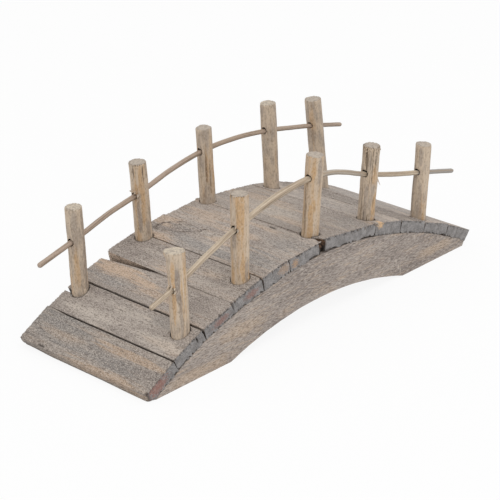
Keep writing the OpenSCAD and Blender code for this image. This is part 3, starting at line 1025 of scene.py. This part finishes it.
def sawn_outline(node, outer):
    """The grid's corners as rows from the sawn lower line to the curved top, at the outer face."""
    crown = outline_points(node, outer, True)
    top_x, top_height, top_radius = circle_through(crown)
    arch_x, arch_height, arch_radius = circle_through(outline_points(node, outer, False))
    points = points_of(node)
    ground = points[points[:, 2] < CLOSE][:, 0]
    heel = np.abs(ground).min()
    stations = [0, FOOT_CELLS, GRID_LENGTH - FOOT_CELLS, GRID_LENGTH]
    steps = np.arange(GRID_LENGTH + 1)
    low_x = np.interp(steps, stations, [ground.min(), -heel, heel, ground.max() - RIGHT_TOE])
    high_x = np.interp(steps, stations, [crown[:, 0].min(), -heel, heel, crown[:, 0].max() - RIGHT_TOE])
    low_z = np.where(np.abs(low_x) < heel - CLOSE,
                     arch_height + np.sqrt(np.maximum(arch_radius ** 2 - (low_x - arch_x) ** 2, 0)), 0)
    high_z = top_height + np.sqrt(top_radius ** 2 - (high_x - top_x) ** 2) - sag_at(high_x)
    high_z += TOE_LIFT * np.clip((high_x - TOE_START) / (high_x.max() - TOE_START), 0, 1)
    high_z = np.maximum(high_z, low_z + THINNEST_TOE)
    rows = []
    for up in np.linspace(0, 1, GRID_HEIGHT + 1):
        rows.append(np.column_stack([low_x + up * (high_x - low_x), np.full(GRID_LENGTH + 1, outer),
                                     low_z + up * (high_z - low_z)]))
    print(node, "top radius mm", round(top_radius / MM, 1), "arch radius", round(arch_radius / MM, 1))
    return np.concatenate(rows)


def stringer(side):
    node = f"{side}_stringer"
    low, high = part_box(node)
    outer, inner = (low.y, high.y) if side == FRONT else (high.y, low.y)
    piece = add_new(node + "_weathered", bpy.ops.mesh.primitive_grid_add,
                    x_subdivisions=GRID_LENGTH, y_subdivisions=GRID_HEIGHT, size=2)
    piece.data.vertices.foreach_set("co", sawn_outline(node, outer).ravel())
    piece.data.update()
    bpy.ops.object.mode_set(mode="EDIT")
    bpy.ops.mesh.select_all(action="SELECT")
    bpy.ops.mesh.extrude_region_move(TRANSFORM_OT_translate={"value": (0, inner - outer, 0)})
    bpy.ops.mesh.select_all(action="SELECT")
    bpy.ops.mesh.normals_make_consistent(inside=False)
    bpy.ops.object.mode_set(mode="OBJECT")
    for name, post in posts.items():
        if name.startswith(side):
            cut_away(piece, cylinder("socket_bit", post["foot"], post["axis"],
                                     post["radius"] + SOCKET_ROOM, post["length"], -SOCKET_ROOM))
    points = coordinates(piece)
    on_face = np.minimum(np.abs(points[:, 1] - outer), np.abs(points[:, 1] - inner)) < FACE_BAND
    mark(piece, "sawn_face", on_face * smooth(points[:, 2] / MM - CLEAN_FOOT))
    push(piece, STRINGER_IN_NOISE, Matrix.Identity(3), *STRINGER_FIBRES)
    dress(piece, stringer_finish(side, STRINGER_SEED[side]), node)
    print(piece.name, "faces", len(piece.data.polygons))


for side in (FRONT, BACK):
    stringer(side)

# %% [markdown]
# ## The posts' finish
# Each stick has its own mix of honey, pale and grey streaks, dark furrows painted as shade, and a pale or
# worn top with painted shade in the pits of its rim. They could be painted one by one, but a table says how
# much of each colour a stick has and where its own marks lie, counted from the side that faces the camera.

# %% Paints and marks of the posts
POST_HONEY, POST_PALE, POST_GREY = paint("c8a67f"), paint("cfbda8"), paint("9d9187")
# The second colour below is painted shade: in the sunk flutes, in the furrow lines among the marks, and in
# the pits of the rim.
POST_DARK, POST_HOLLOW_SHADE = paint("7d6853"), paint("55483c")
POST_TOP, WORN_TOP = paint("d0c3b0"), paint("bfb3a5")
PALE_TOPS = ("front_post_1", "back_post_1", "back_post_4")
# Dark speckles of painted shade in the pits of the rim: their usual share, and the posts with more.
USUAL_RIM_PIT_SHADE = 0.15
RIM_PIT_SHADE = {"front_post_2": 0.7, "front_post_4": 0.8, "back_post_2": 0.8, "back_post_1": 0.4}
SUNK_LENGTH = 15.7 * MM
LEVEL_VIEW = Vector((toward_camera.x, toward_camera.y, 0)).normalized()
POST_RELIEF, POST_ROUGHNESS, POST_SEED = 0.3 * MM, 0.75, 5.3
TOP_FACING = (0.55, 0.8)
POST_GRAIN = {  # kind: blob sizes mm, detail
    "broad": ((4, 4, 40), 3), "streak": ((1.0, 1.0, 22), 3), "fleck": ((0.7, 0.7, 3.5), 2),
    "weather": ((3.0, 3.0, 11), 3), "rings": ((1.3, 1.3, 1.3), 3), "speck": ((0.8, 0.8, 1.4), 1),
}
# The last row is painted shade in the flutes, by how far they sank.
POST_FLECKS = [  # kind of grain, from, to, share, colour
    ("fleck", 0.46, 0.28, 0.5, POST_DARK), ("speck", 0.46, 0.3, 0.35, POST_DARK),
    ("speck", 0.52, 0.7, 0.5, POST_PALE), ("furrow", 0.2, 0.7, 0.8, POST_HOLLOW_SHADE),
]
POST_LOOK = {  # post: (share of honey, share of grey, share of dark streaks, depth of flutes mm)
    "front_post_1": (0.4, 0.35, 0.5, 0.35), "front_post_2": (0.75, 0.3, 0.45, 0.3),
    "front_post_3": (0.8, 0.15, 0.4, 0.2), "front_post_4": (0.35, 0.4, 0.6, 0.8),
    "front_post_5": (0.3, 0.4, 0.45, 0.3), "back_post_1": (0.3, 0.5, 0.55, 0.35),
    "back_post_2": (0.5, 0.35, 0.6, 0.4), "back_post_3": (0.35, 0.6, 0.6, 0.35),
    "back_post_4": (0.3, 0.6, 0.45, 0.3), "back_post_5": (0.25, 0.65, 0.45, 0.3),
}
POST_MARKS = {  # post: (colour, strength, turn from the camera, height over the deck mm, width, length)
    "front_post_1": [(POST_HONEY, 0.9, -25, 28, 1.5, 26), (POST_GREY, 0.95, 5, 32, 1.7, 11),
                     (POST_GREY, 0.7, 15, 12, 1.6, 16), (POST_PALE, 0.9, 38, 26, 0.7, 30),
                     (POST_PALE, 0.9, 68, 30, 0.8, 16)],
    "front_post_2": [(POST_HONEY, 0.9, 5, 42, 2.2, 14), (POST_GREY, 0.7, -42, 26, 1.8, 9),
                     (POST_HONEY, 0.9, 12, 9, 2.6, 10), (POST_PALE, 0.9, 75, 30, 1, 34),
                     (POST_PALE, 0.7, -75, 30, 1, 34), (POST_GREY, 0.7, 45, 8, 1.6, 8)],
    "front_post_3": [(POST_DARK, 0.6, -48, 20, 1.2, 24), (POST_HONEY, 0.95, -4, 15, 2.4, 18),
                     (POST_GREY, 0.75, 36, 42, 2.2, 13), (POST_PALE, 0.95, 76, 24, 1, 34),
                     (POST_HONEY, 0.9, -2, 44, 1.8, 9)],
    # The furrow lines of this post and back post 2 are painted shade in grooves.
    "front_post_4": [(POST_HOLLOW_SHADE, 0.9, -38, 42, 0.4, 12), (POST_HOLLOW_SHADE, 0.95, -14, 40, 0.42, 11),
                     (POST_HOLLOW_SHADE, 0.95, 8, 41, 0.4, 10), (POST_HOLLOW_SHADE, 0.9, 32, 38, 0.45, 12),
                     (POST_HOLLOW_SHADE, 0.9, -24, 6, 0.45, 9), (POST_HOLLOW_SHADE, 0.85, 2, 5, 0.4, 7),
                     (POST_HONEY, 0.9, 40, 9, 2.6, 14), (POST_GREY, 0.7, -15, 12, 1.7, 13),
                     (POST_DARK, 0.7, -42, 12, 0.9, 20), (POST_HONEY, 0.7, 30, 30, 2, 10)],
    "front_post_5": [(POST_PALE, 0.8, 28, 44, 1.6, 9), (POST_GREY, 0.7, -20, 44, 1.7, 9),
                     (POST_GREY, 0.6, -12, 10, 2.6, 16), (POST_GREY, 0.8, -70, 20, 1.5, 34)],
    "back_post_1": [(POST_GREY, 0.7, 5, 42, 3, 16), (POST_HONEY, 0.6, 10, 12, 1.4, 16),
                    (POST_GREY, 0.7, 65, 25, 1.8, 40)],
    "back_post_2": [(POST_HONEY, 0.8, 15, 34, 1.8, 24), (POST_GREY, 0.8, -12, 18, 1.6, 13),
                    (POST_GREY, 0.7, 40, 6, 2, 8), (POST_HOLLOW_SHADE, 0.85, 34, 45, 0.5, 7),
                    (POST_HOLLOW_SHADE, 0.8, -30, 46, 0.5, 5), (POST_PALE, 0.9, -8, 42, 1.0, 6)],
    "back_post_3": [(POST_DARK, 0.75, 4, 22, 0.8, 16), (POST_DARK, 0.65, 32, 14, 0.8, 13),
                    (POST_DARK, 0.5, -40, 30, 0.8, 16), (POST_GREY, 0.6, 10, 46, 3, 8)],
}
print("marks on the posts:", sum(len(marks) for marks in POST_MARKS.values()))

# %% Post finish
def post_finish(name, post, turn, seed):
    honey, grey, dark = POST_LOOK[name][:3]
    material, tree, spot = wood(f"{name}_wood", post["foot"], turn, POST_ROUGHNESS)
    noises = grains(tree, spot, seed, POST_GRAIN)
    noises["furrow"] = noted(tree, "furrow")
    colour = washes(tree, POST_PALE, noises, [
        ("broad", 0.6 - 0.3 * honey, 0.85 - 0.3 * honey, 1, POST_HONEY),
        ("weather", 0.6 - 0.3 * grey, 0.84 - 0.3 * grey, 0.7, POST_GREY)])
    ahead = LEVEL_VIEW * post["radius"]
    for over, strength, aside, height, wide, tall in POST_MARKS.get(name, []):
        centre = turn.transposed() @ (Matrix.Rotation(math.radians(aside), 3, "Z") @ ahead)
        centre = Vector((centre.x, centre.y, SUNK_LENGTH + height * MM)) / MM
        colour = stain(tree, colour, over, strength, spot, centre, (wide, wide, tall), noises["weather"])
    streaks = ("streak", 0.3 + 0.2 * dark, 0.15 + 0.2 * dark, 0.6, POST_DARK)
    colour = washes(tree, colour, noises, [streaks] + POST_FLECKS)
    top = tint(tree, fade(tree, noises["rings"], 0.35, 0.6, 0.25, 1), POST_GREY,
               POST_TOP if name in PALE_TOPS else WORN_TOP)
    colour = tint(tree, fade(tree, facing(tree, turn, (0, 0, 1)), *TOP_FACING), colour, top)
    # Dark speckles on the worn rim, as painted shade in its pits.
    speckled = fade(tree, noises["speck"], 0.56, 0.4, 0, RIM_PIT_SHADE.get(name, USUAL_RIM_PIT_SHADE))
    colour = tint(tree, product(tree, noted(tree, "worn_rim"), speckled), colour, POST_HOLLOW_SHADE)
    # Painted shade inside the reed's hole.
    colour = tint(tree, noted(tree, "in_hole"), colour, HOLLOW_SHADE_PAINT)
    coat(tree, colour, math_node(tree, "ADD", noises["streak"], noises["fleck"]), POST_RELIEF)
    return material


print("post finish ready for", len(POST_LOOK), "posts")

# %% [markdown]
# ## The posts
# The posts are peeled sticks cut to length: nearly round, fluted by the grain, paler on the
# sawn top. A cylinder with an inset, slightly crowned top is bored for the reed, remeshed and
# pushed by a noise drawn out along the post. Torn fibres are faces drawn out to a point.
# Front post 4 is the roughest, so each post has its own depth of flutes.

# %% Sizes for the posts
POST_VOXEL = 0.48 * MM
REED_ROOM = 0.5 * MM
REED_LIFT = 0.35 * MM
REED_LEVEL = 0.7  # share of a post's length, near where the reed passes
REED_STRETCH = 3 * MM  # each way, to take a reed's direction from
TOP_FACE = 0.9  # how far a face looks along the post
CROWN = [(0.12 * MM, 0.3 * MM), (0.35 * MM, 0.2 * MM)]  # insets and rises of the worn rim
CROWN_HEIGHT = 0.4 * MM
HOLE_EDGE, HOLE_DEPTH = 0.35 * MM, 0.8 * MM  # over which the painted shade in the hole fades
RIM_HEIGHT = 1.6 * MM
BARK_FROM, BARK_FADE = 17, 2  # mm over the foot, a little over the deck
OTHER_SIDE = 0.3  # share of the flutes that a post has on its other side
LEFT_FROM, LEFT_FADE = 0.2, 0.7  # in post radii
GROOVED_SIDE = {"front_post_4": 5}  # posts with flutes on one side: turn from the camera
FLUTES = 2.2  # strength of the noise for each mm of flute
FLUTE_NOISE = (0.55, (1.3, 1.3, 30), "bark")
POST_SWELLING = (swell_noise, 0.7, 0.5, (6, 6, 26), "bark")
RIM_CHIPS = (chip_noise, -0.4, 0, (1.1, 1.1, 2.2), "rim")
POST_NOISE_STEP = Vector((0.011, 0.007, 0.019))  # from one post's place in the noises to the next
TIPS = {  # post: (shift of the tip mm, depth of the change mm, share that only the left side has)
    "front_post_1": ((-1.2, 1.3, 0), 6, 1.0), "front_post_4": ((0, 0, 0.7), 3, 0),
    "front_post_5": ((0, 0, 1.4), 5, 0.3),
}
SPLINTERS = {  # post: (end of the hole, place mm: across, up; pull: along, across, up; width, length)
    "front_post_1": [
        (-1, 0.8, 2.9, -0.9, 0.2, -0.5, 0.8, 3.4), (-1, -0.9, 2.9, -0.8, -0.2, -0.3, 0.7, 3.0),
        (-1, -2.6, 1.2, -0.8, -0.5, 0.3, 0.7, 2.6), (-1, -2.7, -0.6, -0.9, -0.4, -0.1, 0.7, 2.4)],
    "front_post_2": [
        (-1, 0.3, 3.0, -0.8, 0.1, 0.5, 0.8, 2.8), (-1, -1.8, 2.5, -0.8, -0.4, 0.1, 0.7, 2.8),
        (-1, -2.8, 0.2, -0.8, -0.5, -0.2, 0.7, 2.4)],
    "front_post_4": [(1, -3.8, -2.0, 0.32, -0.33, -0.9, 0.6, 4.8)],
    "back_post_2": [
        (-1, 0.5, 3.0, -0.8, 0.1, 0.5, 0.9, 3.0), (-1, -1.5, 2.7, -0.8, -0.4, 0.3, 0.9, 3.0),
        (-1, -2.8, 0.8, -0.8, -0.6, 0.1, 0.8, 2.6), (-1, -2.4, -1.6, -0.7, -0.5, -0.4, 0.8, 2.4)],
}
SPLINTER_STEPS = [(0.55, 0.7), (0.45, 0.2)]  # share of the length, and how thin it gets there
FRAYED = {"front_post_4": 9, "front_post_1": 2}  # loose fibres round the rim
FRAY_START, FRAY_STEP = -80, 23  # degrees round the post
FRAY_DROP, FRAY_WIDTH = 1.2 * MM, 0.7 * MM
FRAY_OUT, FRAY_DOWN, FRAY_LENGTH, FRAY_CHANGE = 0.4, 0.8, 0.7, 0.3  # the change is from fibre to fibre
FURROW_DEPTH = 0.7 * MM  # at which the painted shade in a furrow is full
print("splinters:", {name: len(rows) for name, rows in SPLINTERS.items()})

# %% Post blanks, tips and splinters
def reed_at(reed, x):
    """Middle, direction and radius of a reed where it passes a place along the bridge."""
    middles, radii = reed
    def at(place):
        return Vector([np.interp(place, middles[:, 0], middles[:, k]) for k in range(3)])
    way = (at(x + REED_STRETCH) - at(x - REED_STRETCH)).normalized()
    return at(x), way, float(np.interp(x, middles[:, 0], radii))


def reed_through(post, reed):
    """Middle and direction of a post's hole for its reed, and the reed's radius."""
    foot, axis = post["foot"], post["axis"]
    near = foot + axis * post["length"] * REED_LEVEL
    for _ in range(2):  # the second look starts where the first one met the reed
        middle, way, radius = reed_at(reed, near.x)
        near = foot + axis * (middle - foot).dot(axis)
    return middle + Vector((0, 0, REED_LIFT)), way, radius


def post_blank(name, post):
    blank = cylinder(name + "_weathered", post["foot"], post["axis"], post["radius"],
                     post["length"] - CROWN_HEIGHT)
    bpy.ops.object.mode_set(mode="EDIT")
    pick(blank, "FACE", lambda f: f.normal.dot(post["axis"]) > TOP_FACE)
    for inward, rise in CROWN:
        bpy.ops.mesh.inset(thickness=inward)
        bpy.ops.transform.translate(value=post["axis"] * rise)
    bpy.ops.object.mode_set(mode="OBJECT")
    return blank


def pull_splinter(piece, spot, way, width, length):
    """Pulls a few faces out of the surface and draws them to a point, like a torn fibre."""
    take(piece)
    bpy.ops.object.mode_set(mode="EDIT")
    pick(piece, "FACE", lambda f: (f.calc_center_median() - spot).length < width)
    for share, shrink in SPLINTER_STEPS:
        step = way.normalized() * length * share
        spot = spot + step
        bpy.ops.mesh.extrude_region_move(TRANSFORM_OT_translate={"value": step})
        bpy.ops.transform.resize(value=(shrink,) * 3, center_override=spot)
    bpy.ops.object.mode_set(mode="OBJECT")


def shape_tip(piece, post, shift, depth, one_sided):
    """Moves the end of a post, fading downwards, on the whole tip or mostly on its left side."""
    points = coordinates(piece) - np.array(post["foot"])
    rise = points @ np.array(post["axis"])
    sideways = (points - rise[:, None] * np.array(post["axis"])) @ -np.array(level_right) / post["radius"]
    share = 1 - one_sided + one_sided * smooth((sideways - LEFT_FROM) / LEFT_FADE)
    mark(piece, "tip", smooth(1 - (post["length"] - rise) / (depth * MM)) * share)
    for axis, moved in zip("XYZ", shift):
        if moved:
            finish_with(piece, "DISPLACE", direction=axis, strength=moved * MM, mid_level=0,
                        vertex_group="tip")


def splinter_post(name, piece, post, middle, way):
    up = post["axis"]
    across = up.cross(way).normalized()
    for end, aside, rise, along_pull, across_pull, up_pull, width, length in SPLINTERS.get(name, []):
        depth = math.sqrt(max(post["radius"] ** 2 - (aside * MM) ** 2, 0))
        spot = middle + way * end * depth + across * aside * MM + up * rise * MM
        pull = way * along_pull + across * across_pull + up * up_pull
        pull_splinter(piece, spot, pull, width * MM, length * MM)
    for k in range(FRAYED.get(name, 0)):
        out = Matrix.Rotation(math.radians(FRAY_START + FRAY_STEP * k), 3, up) @ LEVEL_VIEW
        spot = post["foot"] + up * (post["length"] - FRAY_DROP) + out * post["radius"]
        pull = out * FRAY_OUT - up * (FRAY_DOWN + FRAY_CHANGE * (k % 2))
        pull_splinter(piece, spot, pull, FRAY_WIDTH, (FRAY_LENGTH + FRAY_CHANGE * (k % 3)) * MM)


print("post tools ready")

# %% Making the posts
def bark_shares(name, post, points, rise):
    """Where a post is fluted: over the deck and under the rim, on some posts on one side."""
    bark = smooth((rise / MM - BARK_FROM) / BARK_FADE) * smooth((post["length"] - rise) / MM + 0.2)
    if name in GROOVED_SIDE:
        aim = Matrix.Rotation(math.radians(GROOVED_SIDE[name]), 3, "Z") @ toward_camera
        side_on = (points - np.array(post["foot"])) @ np.array(aim) / post["radius"]
        bark *= OTHER_SIDE + (1 - OTHER_SIDE) * smooth(side_on - side_on.mean() + 0.3)
    return bark


def make_post(name, post, seed):
    foot, axis, thick = post["foot"], post["axis"], post["radius"]
    turn = axis.to_track_quat("Z", "Y").to_matrix()
    piece = post_blank(name, post)
    middle, way, radius = reed_through(post, reeds[name.split("_")[0] + "_rail"])
    cut_away(piece, cylinder("reed_bit", middle, way, radius + REED_ROOM, 4 * thick, -2 * thick))
    finish_with(piece, "REMESH", mode="VOXEL", voxel_size=POST_VOXEL, use_smooth_shade=True)
    points = coordinates(piece)
    rise, out = along_and_off(points, foot, axis)
    from_reed = along_and_off(points, middle, way)[1]
    # Painted shade inside the reed's hole, fading out of it.
    in_hole = smooth((radius + REED_ROOM + HOLE_EDGE - from_reed) / HOLE_EDGE)
    note(piece, "in_hole", in_hole * smooth((thick - out) / HOLE_DEPTH))
    rim = smooth(1 - (post["length"] - rise) / RIM_HEIGHT) * smooth(out / thick * 3 - 2)
    mark(piece, "rim", rim)
    note(piece, "worn_rim", rim)
    mark(piece, "bark", bark_shares(name, post, points, rise))
    in_noise = foot + POST_NOISE_STEP * seed
    push(piece, in_noise, turn, fibre_noise, FLUTES * POST_LOOK[name][3], *FLUTE_NOISE)
    # Painted shade in the flutes, by how far each vertex sank.
    sunk = out - along_and_off(coordinates(piece), foot, axis)[1]
    note(piece, "furrow", np.clip(sunk / FURROW_DEPTH, 0, 1))
    push(piece, in_noise, turn, *POST_SWELLING)
    push(piece, in_noise, turn, *RIM_CHIPS)
    if name in TIPS:
        shape_tip(piece, post, *TIPS[name])
    splinter_post(name, piece, post, middle, way)
    dress(piece, post_finish(name, post, turn, seed * POST_SEED), name)
    return piece


post_pieces = {name: make_post(name, post, 1 + i) for i, (name, post) in enumerate(posts.items())}
print("faces on a post:", len(post_pieces["front_post_1"].data.polygons))

# %% [markdown]
# ## The reeds' finish
# The reeds are straw-coloured and streaked along their length, with painted shade below and along the front
# one's groove, and the front one is grey in two places. A pattern on plain coordinates would run off a bent
# reed, so the mesh keeps how far each vertex lies from the reed's middle line, and the finish reads that.

# %% Reed finish
REED_STRAW, REED_PINK, REED_GREY = paint("cdbda6"), paint("b09c8b"), paint("9f9993")
# The first colour below is also the painted shade along the front reed's groove. The second is both the
# dark of the grain and the painted shade under the reeds.
REED_GROOVE, REED_GRAIN_AND_SHADE = paint("a38e78"), paint("7a6857")
REED_GRAIN = {  # kind: blob sizes mm, detail
    "broad": ((40, 2.4, 2.4), 3), "streak": ((26, 0.6, 0.6), 3), "fleck": ((3, 0.4, 0.4), 2),
}
REED_SKIN = [  # kind of grain, from, to, share, colour
    ("broad", 0.4, 0.7, 0.7, REED_GROOVE), ("streak", 0.49, 0.33, 0.85, REED_GRAIN_AND_SHADE),
    ("fleck", 0.46, 0.28, 0.6, REED_GRAIN_AND_SHADE), ("fleck", 0.6, 0.8, 0.4, POST_TOP),
]
REED_RELIEF, REED_ROUGHNESS = 0.2 * MM, 0.55
GREY_LENGTHS = {FRONT: [(0.1, 0.2, 1.0), (0.01, 0.05, 0.5)], BACK: []}  # from, to, share
GREY_FADE = 5 * MM
# Painted shade on the reeds' undersides: its share on each reed, and the heights under the middle line over
# which it comes in.
UNDERSIDE_SHADE = {FRONT: 0.4, BACK: 0.75}
UNDERSIDE_SHADE_BAND = (-0.1 * MM, -1.2 * MM)
LINE_TILT, LINE_DROP, LINE_BAND, LINE_SHARE = 1.4, 0.3 * MM, (1.1 * MM, 0.4 * MM), 0.7  # painted shade along the front reed's groove


def reed_finish(side, light, seed):
    material, tree = new_finish(f"{side}_reed", {"Roughness": REED_ROUGHNESS})
    spot = add_node(tree, "Attribute", attribute_name="lie").outputs["Vector"]
    noises = grains(tree, spot, seed, REED_GRAIN)
    colour = washes(tree, light, noises, REED_SKIN)
    x, y, z = add_node(tree, "SeparateXYZ", {0: spot}).outputs
    for start, end, share in GREY_LENGTHS[side]:
        begun = fade(tree, x, start, start + GREY_FADE, 0, share)
        ended = fade(tree, x, end, end - GREY_FADE)
        colour = tint(tree, product(tree, begun, ended), colour, REED_GREY)
    # Painted shade along the front reed's groove.
    if side == FRONT:
        level = math_node(tree, "MULTIPLY_ADD", z, LINE_TILT, y)
        near_line = math_node(tree, "ABSOLUTE", math_node(tree, "ADD", level, LINE_DROP))
        colour = tint(tree, fade(tree, near_line, *LINE_BAND, 0, LINE_SHARE), colour, REED_GROOVE)
    # Painted shade on the underside.
    low = fade(tree, z, *UNDERSIDE_SHADE_BAND, 0, UNDERSIDE_SHADE[side])
    colour = tint(tree, low, colour, REED_GRAIN_AND_SHADE)
    coat(tree, colour, noises["streak"], REED_RELIEF)
    return material


print("grey lengths:", {side: len(rows) for side, rows in GREY_LENGTHS.items()})

# %% [markdown]
# ## The reeds
# The rails are reeds, worn round at their ends. The back one is smooth, and the front one has
# three long grooves and a slight kink. A curve with a bevel profile is the natural tool: its
# points take the measured middles and radii, the profile is drawn once for each reed, and the
# swept curve is turned into a mesh at the end.

# %% Sweeping a reed
PROFILE_STEPS, BEND_STEPS = 24, 6
TIP = [(0.0, 0.5), (0.3, 0.86), (0.8, 1.0)]  # distance from the end and width, in reed radii
KINKS = {FRONT: [(0.026, 0.8 * MM, 18 * MM)], BACK: []}  # where, how high, how far along
GROOVES = {FRONT: [(160, 0.22, 16), (205, 0.3, 14), (90, 0.2, 14)], BACK: []}  # degrees, depth, width
REED_LOOK = {FRONT: (REED_STRAW, 3.0), BACK: (REED_PINK, 8.0)}  # colour, seed
REED_SWELLING = (swell_noise, 0.2, 0.5, (14, 3, 3))


def reed_profile(side):
    """A closed profile of radius 1, with the reed's grooves."""
    profile = add_new(f"{side}_reed_profile", bpy.ops.curve.primitive_nurbs_circle_add, radius=1)
    profile.data.splines.clear()
    outline = profile.data.splines.new("POLY")
    outline.points.add(PROFILE_STEPS - 1)
    for k, point in enumerate(outline.points):
        angle = 2 * math.pi * k / PROFILE_STEPS
        out = 1.0
        for at, depth, wide in GROOVES[side]:
            away = (math.degrees(angle) - at + 180) % 360 - 180
            out -= depth * math.exp(-away ** 2 / wide ** 2)
        point.co = (out * math.cos(angle), out * math.sin(angle), 0, 1)
    outline.use_cyclic_u = True
    return profile


def round_tips(middles, radii):
    """Adds three stations at each end, where the cut reed is worn round."""
    rows = list(zip(middles, radii))
    for end, inward in ((0, 1), (-1, -2)):
        tip, radius = rows[end]
        way = (rows[inward][0] - tip) / np.linalg.norm(rows[inward][0] - tip)
        worn = [(tip + way * radius * back, radius * share) for back, share in TIP]
        rows = worn + rows[1:] if end == 0 else rows[:-1] + worn[::-1]
    return np.array([row[0] for row in rows]), np.array([row[1] for row in rows])


def make_reed(side):
    light, seed = REED_LOOK[side]
    profile = reed_profile(side)
    middles, radii = round_tips(*reeds[f"{side}_rail"])
    for kink, rise, reach in KINKS[side]:
        middles[:, 2] += rise * np.clip(1 - np.abs(middles[:, 0] - kink) / reach, 0, 1)
    piece = add_new(f"{side}_rail_reed", bpy.ops.curve.primitive_bezier_curve_add)
    bend = piece.data
    bend.splines.clear()
    line = bend.splines.new("BEZIER")
    line.bezier_points.add(len(middles) - 1)
    for point, middle, radius in zip(line.bezier_points, middles, radii):
        point.co = middle
        point.radius = radius
        point.handle_left_type = point.handle_right_type = "AUTO"
    bend.dimensions = "3D"
    bend.twist_mode = "Z_UP"
    bend.resolution_u = BEND_STEPS
    bend.bevel_mode = "OBJECT"
    bend.bevel_object = profile
    bend.use_fill_caps = True
    take(piece)
    bpy.ops.object.convert(target="MESH")
    piece = bpy.context.object
    settle(piece)
    bpy.data.objects.remove(profile)
    lie = coordinates(piece)
    for k in (1, 2):
        lie[:, k] -= np.interp(lie[:, 0], middles[:, 0], middles[:, k])
    kept = piece.data.attributes.new("lie", "FLOAT_VECTOR", "POINT")
    kept.data.foreach_set("vector", lie.astype(np.float32).ravel())
    push(piece, Vector((0.03 * seed, 0.01, 0.02)), Matrix.Identity(3), *REED_SWELLING)
    dress(piece, reed_finish(side, light, seed), f"{side}_rail")
    print(piece.name, "faces", len(piece.data.polygons))


for side in (FRONT, BACK):
    make_reed(side)

# %% [markdown]
# ## Closing the lesson
# The guide has done its work and goes, and the number of triangles shown is printed.

# %% Removing the guide and counting triangles
bpy.data.objects.remove(grain_guide)
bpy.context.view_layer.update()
triangles = sum(len(p.vertices) - 2 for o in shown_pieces() for p in o.data.polygons)
print("triangles shown:", triangles)
